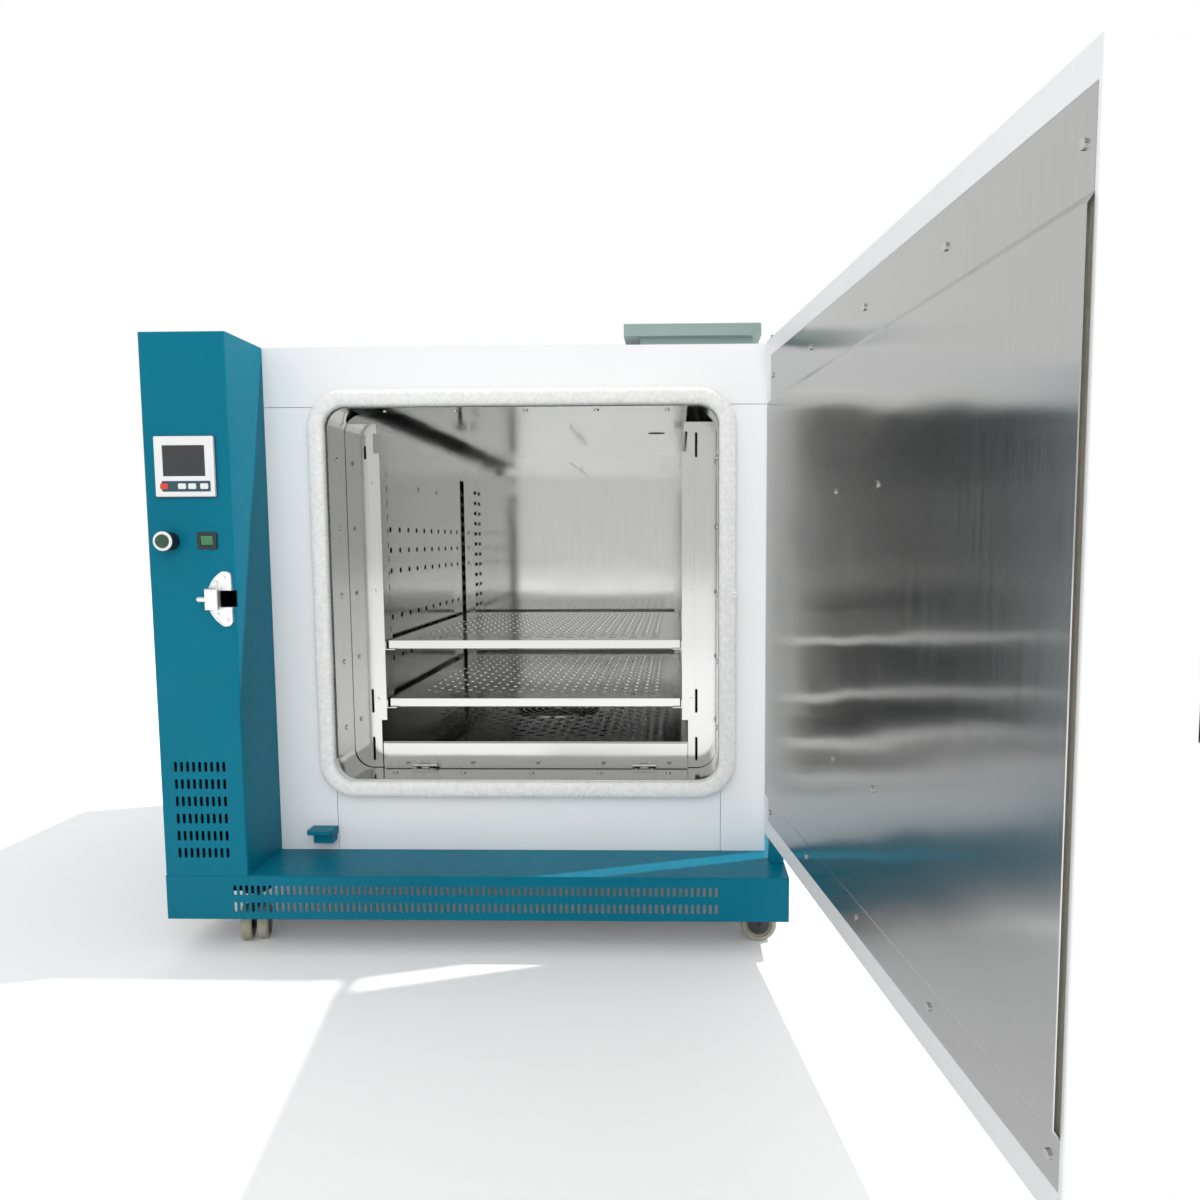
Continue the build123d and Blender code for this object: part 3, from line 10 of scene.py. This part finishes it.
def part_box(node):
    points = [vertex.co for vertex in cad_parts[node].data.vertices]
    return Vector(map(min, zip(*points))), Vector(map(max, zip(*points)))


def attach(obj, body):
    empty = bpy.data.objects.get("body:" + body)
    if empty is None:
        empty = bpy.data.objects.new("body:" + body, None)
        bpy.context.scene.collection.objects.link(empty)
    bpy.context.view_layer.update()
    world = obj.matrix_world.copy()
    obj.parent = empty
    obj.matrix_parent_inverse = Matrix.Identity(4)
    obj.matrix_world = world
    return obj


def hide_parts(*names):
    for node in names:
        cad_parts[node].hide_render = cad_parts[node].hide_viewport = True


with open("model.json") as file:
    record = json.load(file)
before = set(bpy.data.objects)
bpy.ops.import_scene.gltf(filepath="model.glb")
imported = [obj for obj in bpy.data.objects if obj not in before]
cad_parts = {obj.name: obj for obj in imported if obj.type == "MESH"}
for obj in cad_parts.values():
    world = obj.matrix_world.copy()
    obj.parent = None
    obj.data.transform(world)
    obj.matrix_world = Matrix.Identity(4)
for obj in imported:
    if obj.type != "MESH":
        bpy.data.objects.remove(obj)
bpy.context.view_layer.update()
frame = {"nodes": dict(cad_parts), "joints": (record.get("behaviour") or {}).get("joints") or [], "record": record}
nodes = frame["nodes"]
slots = {part["node"]: part["material_slot"] for part in frame["record"]["subparts"]}
MM = 0.001

# ------------------------------------------------------------------ camera and light
IMAGE = 1200
FOCAL_PX = 859.8
PRINCIPAL_PX = (659.3, 613.1)
CAMERA_PLACE = (0.3382, -1.8685, 0.6914)
CAMERA_YAW = 1.264
CAMERA_PITCH = 4.808
CAMERA_ROLL = -0.24
SENSOR = 36.0
SUN_DIRECTION = (-0.55, -0.17, -0.82)
PLAIN_LIGHT = 0.84
SUN_POWER = 3.3
FILL_POWER = 34
FLOOR_REACH = 14.0
FLOOR_TRUE = 0.5                    # colour that matt surfaces see, so that the floor's bounce stays low
FLOOR_SEEN = 0.92
FLOOR_GLOW = 0.08                   # share of white that the eye and metal see on the floor, also in shadow


def add_camera():
    """Camera fitted to the cabinet's corners, with its own shift for the off-centre picture."""
    data = bpy.data.cameras.new("camera")
    data.sensor_width = SENSOR
    data.lens = SENSOR * FOCAL_PX / IMAGE
    data.shift_x = (IMAGE / 2 - PRINCIPAL_PX[0]) / IMAGE
    data.shift_y = (PRINCIPAL_PX[1] - IMAGE / 2) / IMAGE
    camera = bpy.data.objects.new("camera", data)
    turn = (Matrix.Rotation(radians(CAMERA_YAW), 4, "Z")
            @ Matrix.Rotation(radians(90 - CAMERA_PITCH), 4, "X")
            @ Matrix.Rotation(radians(CAMERA_ROLL), 4, "Z"))
    camera.matrix_world = Matrix.Translation(CAMERA_PLACE) @ turn
    bpy.context.scene.collection.objects.link(camera)
    bpy.context.scene.camera = camera


def add_light(name, kind, place, target, power, colour=(1, 1, 1), **settings):
    """A lamp at a place, aimed at a target."""
    data = bpy.data.lights.new(name, kind)
    data.energy = power
    data.color = colour
    for key, value in settings.items():
        setattr(data, key, value)
    lamp = bpy.data.objects.new(name, data)
    lamp.visible_glossy = kind == "SUN"
    aim = Vector(target) - Vector(place)
    lamp.matrix_world = Matrix.Translation(place) @ aim.to_track_quat("-Z", "Y").to_matrix().to_4x4()
    bpy.context.scene.collection.objects.link(lamp)


# ------------------------------------------------------------------ material tools
class Shader:
    """A node material with one Principled surface, and short ways to add nodes to it."""

    def __init__(self, name, **values):
        self.material = bpy.data.materials.new(name)
        self.material.use_nodes = True
        self.tree = self.material.node_tree
        self.surface = self.tree.nodes["Principled BSDF"]
        self.set(self.surface, **values)
        coordinates = self.tree.nodes.new("ShaderNodeTexCoord")
        self.place = coordinates.outputs["Object"]
        self.material.diffuse_color = tuple(values.get("Base_Color", (0.8, 0.8, 0.8, 1)))

    def set(self, node, **values):
        for key, value in values.items():
            socket = node.inputs[key.replace("_", " ")]
            if isinstance(value, bpy.types.NodeSocket):
                self.tree.links.new(value, socket)
            else:
                socket.default_value = value
        return node

    def add(self, kind, options=None, **values):
        node = self.tree.nodes.new("ShaderNode" + kind)
        for key, value in (options or {}).items():
            setattr(node, key, value)
        return self.set(node, **values)

    def scaled(self, x, y, z):
        """Object coordinates stretched along each axis."""
        return self.add("Mapping", Vector=self.place, Scale=(x, y, z)).outputs[0]

    def noise(self, scale, detail=3.0, vector=None, roughness=0.5):
        return self.add("TexNoise", Vector=vector or self.place, Scale=scale, Detail=detail,
                        Roughness=roughness).outputs["Fac"]

    def span(self, value, low, high, to_low, to_high):
        """A value mapped from one range to another, and held inside it."""
        node = self.add("MapRange", Value=value)
        for key, number in (("From Min", low), ("From Max", high), ("To Min", to_low), ("To Max", to_high)):
            node.inputs[key].default_value = number
        return node.outputs[0]

    def mix(self, share, a, b):
        """Colour a where share is 0 and b where it is 1."""
        node = self.add("MixRGB")
        for key, value in (("Fac", share), ("Color1", a), ("Color2", b)):
            if isinstance(value, bpy.types.NodeSocket):
                self.tree.links.new(value, node.inputs[key])
            else:
                node.inputs[key].default_value = value
        return node.outputs[0]

    def math(self, operation, a, b=0.0):
        node = self.add("Math", {"operation": operation})
        for socket, value in zip(node.inputs, (a, b)):
            if isinstance(value, bpy.types.NodeSocket):
                self.tree.links.new(value, socket)
            else:
                socket.default_value = value
        return node.outputs[0]

    def bump(self, height, distance, strength=1.0, normal=None):
        node = self.add("Bump", Height=height, Distance=distance, Strength=strength)
        if normal is not None:
            self.tree.links.new(normal, node.inputs["Normal"])
        return node.outputs[0]

    def rounded(self, radius):
        """Normals that run softly over edges, as on folded or moulded parts."""
        return self.add("Bevel", {"samples": 4}, Radius=radius).outputs[0]

    def paint(self, **values):
        """Feed sockets or values into the surface."""
        return self.set(self.surface, **values)


def grey(value):
    return (value, value, value, 1.0)


# ------------------------------------------------------------------ finishes
def powder_coat(name, dark, light, roughness, gloss=0.3, grain=0.00006):
    """Baked powder coat: fine orange peel, faint cloudy colour and softly rounded folds."""
    shader = Shader(name, Base_Color=light)
    cloud = shader.span(shader.noise(3.5, 4), 0.3, 0.7, 0, 1)
    peel = shader.noise(900, 2)
    shader.paint(Base_Color=shader.mix(cloud, dark, light),
                 Roughness=shader.span(shader.noise(60, 3), 0.3, 0.7, roughness - 0.05, roughness + 0.06),
                 Normal=shader.bump(peel, grain, 0.5, shader.rounded(0.0012)))
    shader.paint(Specular_IOR_Level=gloss)
    return shader.material


def brushed(name, colour, roughness, along, wave=0.0, smudge=0.04, smear=0.0, fold=0.0004, groove=0.3):
    """Brushed sheet: fine lines along an axis, faint smudges and, on large sheets, a slow wave.

    A smear above 0 spreads reflections sideways, across upright brush lines.
    """
    stretch = [700.0, 700.0, 700.0]
    stretch["XYZ".index(along)] = 9.0
    shader = Shader(name, Base_Color=colour, Metallic=1.0)
    lines = shader.noise(1.0, 3, shader.scaled(*stretch), 0.6)
    marks = shader.span(shader.noise(7, 5), 0.45, 0.75, 0, 1)
    tone = shader.span(lines, 0.3, 0.7, 0.97, 1.02)
    base = shader.add("VectorMath", {"operation": "SCALE"}, Vector=colour[:3], Scale=tone).outputs[0]
    rough = shader.math("ADD", shader.span(lines, 0.3, 0.7, roughness - 0.02, roughness + 0.02),
                        shader.math("MULTIPLY", marks, smudge))
    normal = shader.rounded(fold)
    if wave:
        swell = shader.noise(2.6, 1.5, shader.scaled(1.0, 1.0, 2.2))
        normal = shader.bump(swell, wave, 1.0, normal)
    if smear:
        sideways = shader.add("Tangent", {"direction_type": "RADIAL", "axis": "Z"}).outputs[0]
        shader.paint(Anisotropic=smear, Tangent=sideways)
    shader.paint(Base_Color=base, Roughness=rough, Normal=shader.bump(lines, 0.000004, groove, normal))
    return shader.material


def cast(name, colour, roughness):
    """Tumbled casting: small pits and rounded edges."""
    shader = Shader(name, Base_Color=colour, Metallic=1.0)
    pits = shader.noise(160, 3)
    shader.paint(Roughness=shader.span(pits, 0.3, 0.7, roughness - 0.04, roughness + 0.08),
                 Base_Color=shader.mix(shader.span(pits, 0.3, 0.6, 0, 1), grey(colour[0] * 0.93), colour),
                 Normal=shader.bump(pits, 0.00001, 0.3, shader.rounded(0.0012)))
    return shader.material


def moulded(name, colour, roughness, grain=0.00004, radius=0.0006, coat=0.0):
    """Moulded plastic: fine spark-eroded grain and rounded edges."""
    shader = Shader(name, Base_Color=colour)
    texture = shader.noise(1400, 2)
    tint = tuple(min(1.0, c * 1.12) for c in colour[:3]) + (1.0,)
    shader.paint(Base_Color=shader.mix(shader.noise(30, 3), colour, tint),
                 Roughness=shader.span(texture, 0.3, 0.7, roughness - 0.04, roughness + 0.05),
                 Normal=shader.bump(texture, grain, 0.5, shader.rounded(radius)), Coat_Weight=coat)
    return shader.material


def lamp_plastic(name, colour, glow):
    """Translucent coloured plastic with a lamp behind it."""
    shader = Shader(name, Base_Color=colour, Roughness=0.25, Emission_Color=colour)
    spot = shader.span(shader.noise(140, 2), 0.3, 0.7, glow * 0.6, glow)
    shader.paint(Emission_Strength=spot, Normal=shader.rounded(0.0006), Coat_Weight=0.5)
    return shader.material


def dark_window(name):
    """Switched-off display behind a glossy window."""
    shader = Shader(name, Base_Color=(0.006, 0.008, 0.01, 1), Roughness=0.12)
    cells = shader.add("TexChecker", Vector=shader.place, Scale=900).outputs["Fac"]
    shader.paint(Base_Color=shader.mix(cells, (0.006, 0.008, 0.01, 1), (0.012, 0.014, 0.018, 1)),
                 Coat_Weight=0.6, Coat_Roughness=0.05,
                 Roughness=shader.span(shader.noise(20), 0.3, 0.7, 0.1, 0.2))
    return shader.material


def tyre_tread(name):
    """Greyish olive thermoplastic tyre, slightly dusty."""
    shader = Shader(name, Base_Color=(0.38, 0.36, 0.27, 1))
    dust = shader.span(shader.noise(45, 5), 0.4, 0.7, 0, 1)
    shader.paint(Base_Color=shader.mix(dust, (0.36, 0.34, 0.25, 1), (0.5, 0.48, 0.4, 1)),
                 Roughness=shader.span(dust, 0, 1, 0.5, 0.75),
                 Normal=shader.bump(shader.noise(350, 3), 0.0001, 0.5))
    return shader.material


def wool(name, colour):
    """Matted fibre batt."""
    shader = Shader(name, Base_Color=colour, Roughness=0.95)
    fibres = shader.noise(1.0, 6, shader.scaled(500, 500, 60), 0.7)
    shader.paint(Base_Color=shader.mix(fibres, colour, grey(0.75)), Normal=shader.bump(fibres, 0.001))
    return shader.material


def glass_rope(name):
    """White braided glass fibre: fine yarn lines over the modelled braid."""
    shader = Shader(name, Base_Color=grey(0.86), Roughness=0.85)
    yarn = shader.noise(1.0, 4, shader.scaled(1500, 1500, 1500), 0.7)
    tone = shader.span(shader.noise(120, 5), 0.3, 0.7, 0, 1)
    shader.paint(Base_Color=shader.mix(tone, (0.78, 0.78, 0.76, 1), (0.9, 0.9, 0.89, 1)),
                 Sheen_Weight=0.4, Sheen_Roughness=0.5, Subsurface_Weight=0.15, Subsurface_Scale=0.002,
                 Normal=shader.bump(yarn, 0.0003, 0.7))
    return shader.material


def make_finishes():
    """One material for each slot of the record."""
    steel = (0.5, 0.5, 0.495, 1)
    teal = ((0.0, 0.145, 0.225, 1), (0.0, 0.17, 0.255, 1))
    white = ((0.86, 0.865, 0.87, 1), (0.9, 0.905, 0.91, 1))
    return {
        "teal_paint": powder_coat("teal_paint", *teal, 0.38, 0.12),
        "white_paint": powder_coat("white_paint", *white, 0.36),
        "hood_paint": powder_coat("hood_paint", (0.22, 0.3, 0.28, 1), (0.28, 0.36, 0.34, 1), 0.45),
        "stainless": brushed("stainless", steel, 0.12, "Z"),
        "zinc_steel": brushed("zinc_steel", (0.55, 0.55, 0.54, 1), 0.4, "X"),
        "cast_metal": cast("cast_metal", (0.8, 0.8, 0.81, 1), 0.36),
        "silver_plastic": moulded("silver_plastic", (0.76, 0.77, 0.77, 1), 0.35),
        "black_plastic": moulded("black_plastic", (0.012, 0.012, 0.013, 1), 0.35),
        "screen_glass": dark_window("screen_glass"),
        "key_white": moulded("key_white", grey(0.75), 0.5),
        "key_red": moulded("key_red", (0.65, 0.05, 0.02, 1), 0.45),
        "cap_green": moulded("cap_green", (0.004, 0.05, 0.028, 1), 0.3, coat=0.3),
        "rocker_green": lamp_plastic("rocker_green", (0.0, 0.14, 0.035, 1), 0.15),
        "caster_tyre": tyre_tread("caster_tyre"),
        "fork_black": powder_coat("fork_black", grey(0.01), grey(0.02), 0.4),
        "glass_rope": glass_rope("glass_rope"),
        "mineral_wool": wool("mineral_wool", (0.5, 0.42, 0.2, 1)),
        "motor_grey": powder_coat("motor_grey", grey(0.05), grey(0.08), 0.45),
        "heater_steel": brushed("heater_steel", (0.3, 0.24, 0.2, 1), 0.45, "Z"),
    }


def add_slot(node, material, keeps):
    """Give a CAD node a second material on the faces whose centre passes a test."""
    mesh = nodes[node].data
    mesh.materials.append(material)
    index = len(mesh.materials) - 1
    for face in mesh.polygons:
        if keeps(face.center, face.normal):
            face.material_index = index


BUTTON_RING = 1.5 * MM      # depth of the white ring on the start button's barrel
HUB_RADIUS = 19 * MM


def dress_frame(finishes):
    """Put a finish on every CAD node, with second finishes where a piece has two."""
    for name, obj in nodes.items():
        obj.data.materials.clear()
        obj.data.materials.append(finishes[slots[name]])
    door_sheet = brushed("door_sheet", (0.46, 0.46, 0.455, 1), 0.16, "Z", wave=0.004, smudge=0.01,
                         smear=0.95, groove=0.02)
    nodes["door_inner_panel"].data.materials[0] = door_sheet
    wall_sheet = brushed("wall_sheet", (0.5, 0.5, 0.495, 1), 0.1, "Z", wave=0.002)
    nodes["chamber_liner"].data.materials[0] = wall_sheet
    low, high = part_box("start_button_barrel")
    ring = moulded("button_ring", grey(0.82), 0.3)
    add_slot("start_button_barrel", ring, lambda point, normal: point[1] < low[1] + BUTTON_RING)
    hub = moulded("caster_hub", (0.015, 0.016, 0.018, 1), 0.35)
    for joint in frame["joints"]:
        if joint["name"].startswith("wheels_"):
            node = "caster_wheel_" + joint["name"].split("_")[1]
            centre, axis = Vector(joint["pos_m"]), Vector(joint["axis"]).normalized()

            def near_hub(point, normal, centre=centre, axis=axis):
                arm = point - centre
                return (arm - arm.dot(axis) * axis).length < HUB_RADIUS
            add_slot(node, hub, near_hub)


# ------------------------------------------------------------------ modelled pieces
def mesh_piece(name, points, faces, body, smooth=True):
    """A mesh object from arrays of points and faces, riding on a body."""
    mesh = bpy.data.meshes.new(name)
    mesh.from_pydata(points, [], faces)
    mesh.update()
    if smooth:
        mesh.polygons.foreach_set("use_smooth", [True] * len(mesh.polygons))
    obj = bpy.data.objects.new(name, mesh)
    bpy.context.scene.collection.objects.link(obj)
    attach(obj, body)
    return obj


CORNER_STEPS = 6
# how far the black rim of painted shadow stands out round the controller's bezel, and its corner radius
BEZEL_SHADE_OUT = 0.9 * MM
BEZEL_SHADE_RADIUS = 2.5 * MM
KEY_STRIP_LEFT = 11 * MM
KEY_STRIP_RIGHT = 6 * MM
KEY_STRIP_TOP = 71 * MM     # from the bezel's top edge
KEY_STRIP_BOTTOM = 88 * MM
KEY_STRIP_RADIUS = 2 * MM


def rounded_plate(name, low, high, radius, body, finish):
    """A thin plate in the XZ plane with round corners."""
    (x0, y0, z0), (x1, y1, z1) = low, high
    rim = []
    for turn, x, z in ((0, x1 - radius, z1 - radius), (1, x0 + radius, z1 - radius),
                       (2, x0 + radius, z0 + radius), (3, x1 - radius, z0 + radius)):
        for k in range(CORNER_STEPS + 1):
            angle = (turn + k / CORNER_STEPS) * pi / 2
            rim.append((x + radius * cos(angle), z + radius * sin(angle)))
    count = len(rim)
    points = [(x, y0, z) for x, z in rim] + [(x, y1, z) for x, z in rim]
    faces = [tuple(range(count)), tuple(reversed(range(count, 2 * count)))]
    faces += [(k, count + k, count + (k + 1) % count, (k + 1) % count) for k in range(count)]
    plate = mesh_piece(name, points, faces, body, smooth=False)
    plate.data.materials.append(finish)
    return plate


def controller_trim(finishes):
    """Black rim behind the controller's bezel, a painted shadow round its edge, and the dark strip its keys stand
    in.
    """
    low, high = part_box("controller_case")
    out = BEZEL_SHADE_OUT
    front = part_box("column_front_cover")[0][1]
    # black plate a little larger than the bezel: painted shadow round the bezel's edge
    rounded_plate("bezel_shadow_rim", (low[0] - out, front - 1.2 * MM, low[2] - out),
                  (high[0] + out, front + 0.2 * MM, high[2] + out), BEZEL_SHADE_RADIUS, "oven",
                  finishes["black_plastic"])
    strip = moulded("key_strip", (0.012, 0.06, 0.08, 1), 0.35)
    rounded_plate("key_strip", (low[0] + KEY_STRIP_LEFT, low[1] - 0.15 * MM, high[2] - KEY_STRIP_BOTTOM),
                  (high[0] - KEY_STRIP_RIGHT, low[1] + 0.5 * MM, high[2] - KEY_STRIP_TOP),
                  KEY_STRIP_RADIUS, "oven", strip)


SEAL_CORNER = 51 * MM       # radius of the rope's middle line
ROPE_STEP = 1.8 * MM
ROPE_SIDES = 40
BRAID_PITCH = 9.0 * MM
BRAID_RISE = 1.5 * MM
SEAL_WIDTH = 30 * MM
FLUFF_COUNT = 9000
JOIN_HEIGHT = 0.593
JOIN_TAILS = 7
TAIL_POINTS = 6
TUFT_COUNT = 500


def seal_line(low, high, width):
    """Middle line of the seal as points and outward directions, in the XZ plane."""
    half = (np.array([high[0] - low[0], high[2] - low[2]]) - width) / 2
    centre = np.array([(low[0] + high[0]) / 2, (low[2] + high[2]) / 2])
    straight = half - SEAL_CORNER
    points, outward = [], []
    for quarter in range(4):
        turn = quarter * pi / 2
        across = straight[0] if quarter % 2 == 0 else straight[1]
        reach = half[1] if quarter % 2 == 0 else half[0]
        ahead = np.array([cos(turn), sin(turn)])
        out = np.array([sin(turn), -cos(turn)])
        for along in np.arange(-across, across, ROPE_STEP):
            points.append(centre + ahead * along + out * reach)
            outward.append(out)
        steps = int(SEAL_CORNER * pi / 2 / ROPE_STEP)
        middle = centre + ahead * across + out * (reach - SEAL_CORNER)
        for k in range(steps):
            bend = k / steps * pi / 2
            direction = out * cos(bend) + ahead * sin(bend)
            points.append(middle + direction * SEAL_CORNER)
            outward.append(direction)
    return np.array(points), np.array(outward)


def braided_seal():
    """Glass-fibre rope round the opening: a herringbone braid, pressed flat at its back."""
    low, high = (np.array(corner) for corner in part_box("door_gasket"))
    depth = high[1] - low[1]
    width = SEAL_WIDTH
    line, outward = seal_line(low, high, width)
    count = len(line)
    run = np.arange(count) * ROPE_STEP
    turns = round(run[-1] / BRAID_PITCH)
    rng = np.random.default_rng(4)
    angle = np.linspace(0, 2 * pi, ROPE_SIDES, endpoint=False)
    rise = np.sign(np.sin(angle)) * np.abs(np.sin(angle)) ** 0.75
    side = np.sign(np.cos(angle)) * np.abs(np.cos(angle)) ** 0.8
    phase = run[:, None] / run[-1] * turns + np.abs(side)[None, :] * 1.1
    stitch = np.abs(np.sin(pi * phase)) ** 0.6 - 0.6
    weave = stitch * np.cos(pi * side * 2.5)[None, :] ** 2 + 0.25 * stitch
    slow = sum(np.sin(run / run[-1] * 2 * pi * k + rng.uniform(0, 6)) for k in (7, 13, 29, 41)) / 4
    radius = 1 + (weave * BRAID_RISE / (width / 2)) + rng.normal(0, 0.012, (count, ROPE_SIDES))
    half_width = (width / 2 - 0.6 * MM) * (1 + 0.03 * slow[:, None])
    half_depth = (depth / 2 - 0.4 * MM) * (1 + 0.03 * np.roll(slow, 90)[:, None])
    off = side[None, :] * half_width * radius
    proud = (depth / 2) + rise[None, :] * half_depth * radius
    proud = np.maximum(proud, 0.2 * MM)
    x = line[:, 0, None] + outward[:, 0, None] * off
    z = line[:, 1, None] + outward[:, 1, None] * off
    y = high[1] - proud
    points = np.stack([x, y, z], axis=-1).reshape(-1, 3)
    ring = np.arange(ROPE_SIDES)
    after = (ring + 1) % ROPE_SIDES
    faces = []
    for k in range(count):
        a, b = k * ROPE_SIDES, ((k + 1) % count) * ROPE_SIDES
        faces += [(a + i, a + j, b + j, b + i) for i, j in zip(ring, after)]
    rope = mesh_piece("braided_seal", points.tolist(), faces, "oven")
    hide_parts("door_gasket")
    return rope, points.reshape(count, ROPE_SIDES, 3), outward


def fibres(name, roots, directions, lengths, seed, body, slot, front, width=0.16 * MM):
    """Thin curled ribbons that stand off a surface, and lie flat where they reach the closed door."""
    rng = np.random.default_rng(seed)
    count, parts = len(roots), 4
    curl = rng.normal(0, 0.55, (count, 3))
    flat = np.cross(directions, rng.normal(0, 1, (count, 3)))
    flat /= np.linalg.norm(flat, axis=1)[:, None] + 1e-9
    points, faces = [], []
    for k in range(parts + 1):
        share = k / parts
        centre = roots + (directions * share + curl * share ** 2) * lengths[:, None]
        thin = width * (1 - 0.7 * share) / 2
        points.append(centre - flat * thin)
        points.append(centre + flat * thin)
    stack = np.stack(points, axis=1)
    stack[:, :, 1] = np.maximum(stack[:, :, 1], front + 0.15 * MM)
    rows = 2 * (parts + 1)
    for n in range(count):
        base = n * rows
        faces += [(base + 2 * k, base + 2 * k + 1, base + 2 * k + 3, base + 2 * k + 2) for k in range(parts)]
    return mesh_piece(name, stack.reshape(-1, 3).tolist(), faces, body)


def seal_fluff(grid, outward):
    """Loose fibre ends all over the seal."""
    rng = np.random.default_rng(9)
    count = FLUFF_COUNT
    rows = rng.integers(0, grid.shape[0], count)
    front = rng.integers(-2, ROPE_SIDES // 2 + 3, count) % ROPE_SIDES
    roots = grid[rows, front]
    ahead = np.column_stack([outward[rows, 0] * np.cos(front / ROPE_SIDES * 2 * pi),
                             -np.sin(front / ROPE_SIDES * 2 * pi),
                             outward[rows, 1] * np.cos(front / ROPE_SIDES * 2 * pi)])
    directions = ahead + rng.normal(0, 0.6, (count, 3))
    directions /= np.linalg.norm(directions, axis=1)[:, None]
    fluff = fibres("seal_fluff", roots, directions, rng.uniform(1.5, 4.0, count) * MM, 2, "oven",
                   "glass_rope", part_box("door_gasket")[0][1])
    return fluff


def seal_join(finish):
    """The seal's ends, tied together at the right: short frayed strands and a loose knot."""
    low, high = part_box("door_gasket")
    rng = np.random.default_rng(21)
    centre = np.array([high[0] - 14 * MM, low[1] + 3 * MM, JOIN_HEIGHT])
    for k in range(JOIN_TAILS):
        turn = rng.uniform(-0.5, 0.5)
        side = -1 if k % 2 else 1
        curve = bpy.data.curves.new(f"seal_tail_{k}", "CURVE")
        curve.dimensions = "3D"
        curve.bevel_depth = rng.uniform(1.0, 1.7) * MM
        curve.bevel_resolution = 3
        spline = curve.splines.new("NURBS")
        spline.points.add(TAIL_POINTS - 1)
        reach = rng.uniform(9, 17) * MM
        for n, point in enumerate(spline.points):
            share = n / (TAIL_POINTS - 1)
            place = centre + np.array([side * reach * share + rng.normal(0, 1.2) * MM,
                                       -rng.uniform(0.0, 1.5) * MM - 2.5 * sin(share * pi) * MM * 0.6,
                                       (turn * share * 16 + rng.normal(0, 1.6) + (k - 3) * 1.6) * MM])
            place[1] = max(place[1], low[1] + curve.bevel_depth + 0.2 * MM)
            point.co = (*place, 1.0)
        spline.order_u = 4
        spline.use_endpoint_u = True
        tail = bpy.data.objects.new(f"seal_tail_{k}", curve)
        curve.materials.append(finish)
        bpy.context.scene.collection.objects.link(tail)
        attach(tail, "oven")
    count = TUFT_COUNT
    roots = centre + rng.normal(0, 1, (count, 3)) * np.array([9, 1.0, 6]) * MM
    directions = rng.normal(0, 1, (count, 3)) * np.array([1.0, 0.25, 0.8])
    directions /= np.linalg.norm(directions, axis=1)[:, None]
    tuft = fibres("seal_tuft", roots, directions, rng.uniform(4, 10, count) * MM, 5, "oven", "glass_rope",
                  low[1])
    tuft.data.materials.append(finish)


# ------------------------------------------------------------------ stage
def add_stage():
    """White floor and a white surround."""
    reach = FLOOR_REACH
    mesh = bpy.data.meshes.new("floor")
    mesh.from_pydata([(-reach, -reach, 0), (reach, -reach, 0), (reach, reach, 0), (-reach, reach, 0)],
                     [], [(0, 1, 2, 3)])
    floor = bpy.data.objects.new("floor", mesh)
    bpy.context.scene.collection.objects.link(floor)
    shader = Shader("floor", Base_Color=grey(0.93), Roughness=0.75)
    rays = shader.add("LightPath").outputs
    seen = shader.math("MAXIMUM", rays["Is Camera Ray"],
                       shader.math("MAXIMUM", rays["Is Glossy Ray"], rays["Is Transmission Ray"]))
    concrete = shader.mix(shader.noise(2.0), grey(FLOOR_TRUE - 0.02), grey(FLOOR_TRUE + 0.02))
    shader.paint(Base_Color=shader.mix(seen, concrete, grey(FLOOR_SEEN)), Emission_Color=grey(1.0),
                 Emission_Strength=shader.math("MULTIPLY", seen, FLOOR_GLOW))
    mesh.materials.append(shader.material)

    add_surround()


def add_surround():
    """White that the eye, metal and glass all see alike, and a plain level of light on matt surfaces."""
    world = bpy.data.worlds.new("surround")
    world.use_nodes = True
    bpy.context.scene.world = world
    tree = world.node_tree
    tree.nodes.clear()
    rays = tree.nodes.new("ShaderNodeLightPath").outputs
    seen = rays["Is Camera Ray"]
    for kind in ("Is Glossy Ray", "Is Transmission Ray"):
        either = tree.nodes.new("ShaderNodeMath")
        either.operation = "MAXIMUM"
        tree.links.new(seen, either.inputs[0])
        tree.links.new(rays[kind], either.inputs[1])
        seen = either.outputs[0]
    choose = tree.nodes.new("ShaderNodeMixShader")
    tree.links.new(seen, choose.inputs[0])
    for slot, strength in ((1, PLAIN_LIGHT), (2, 1.0)):
        light = tree.nodes.new("ShaderNodeBackground")
        light.inputs["Color"].default_value = grey(1.0)
        light.inputs["Strength"].default_value = strength
        tree.links.new(light.outputs[0], choose.inputs[slot])
    output = tree.nodes.new("ShaderNodeOutputWorld")
    tree.links.new(choose.outputs[0], output.inputs["Surface"])


def add_lights():
    """A hard sun from behind on the right, and a broad soft light from the front."""
    sun_place = tuple(-3 * c for c in SUN_DIRECTION)
    add_light("sun", "SUN", sun_place, (0, 0, 0), SUN_POWER, angle=radians(1.2))
    add_light("front_fill", "AREA", (0.2, -3.2, 2.4), (0.0, 0.0, 0.6), FILL_POWER, size=2.4, shape="SQUARE")


scene = bpy.context.scene
scene.view_settings.view_transform = "Standard"
finishes = make_finishes()
dress_frame(finishes)
rope, rope_grid, rope_outward = braided_seal()
rope.data.materials.append(finishes["glass_rope"])
fluff = seal_fluff(rope_grid, rope_outward)
fluff.data.materials.append(finishes["glass_rope"])
seal_join(finishes["glass_rope"])
controller_trim(finishes)
add_stage()
add_lights()
add_camera()
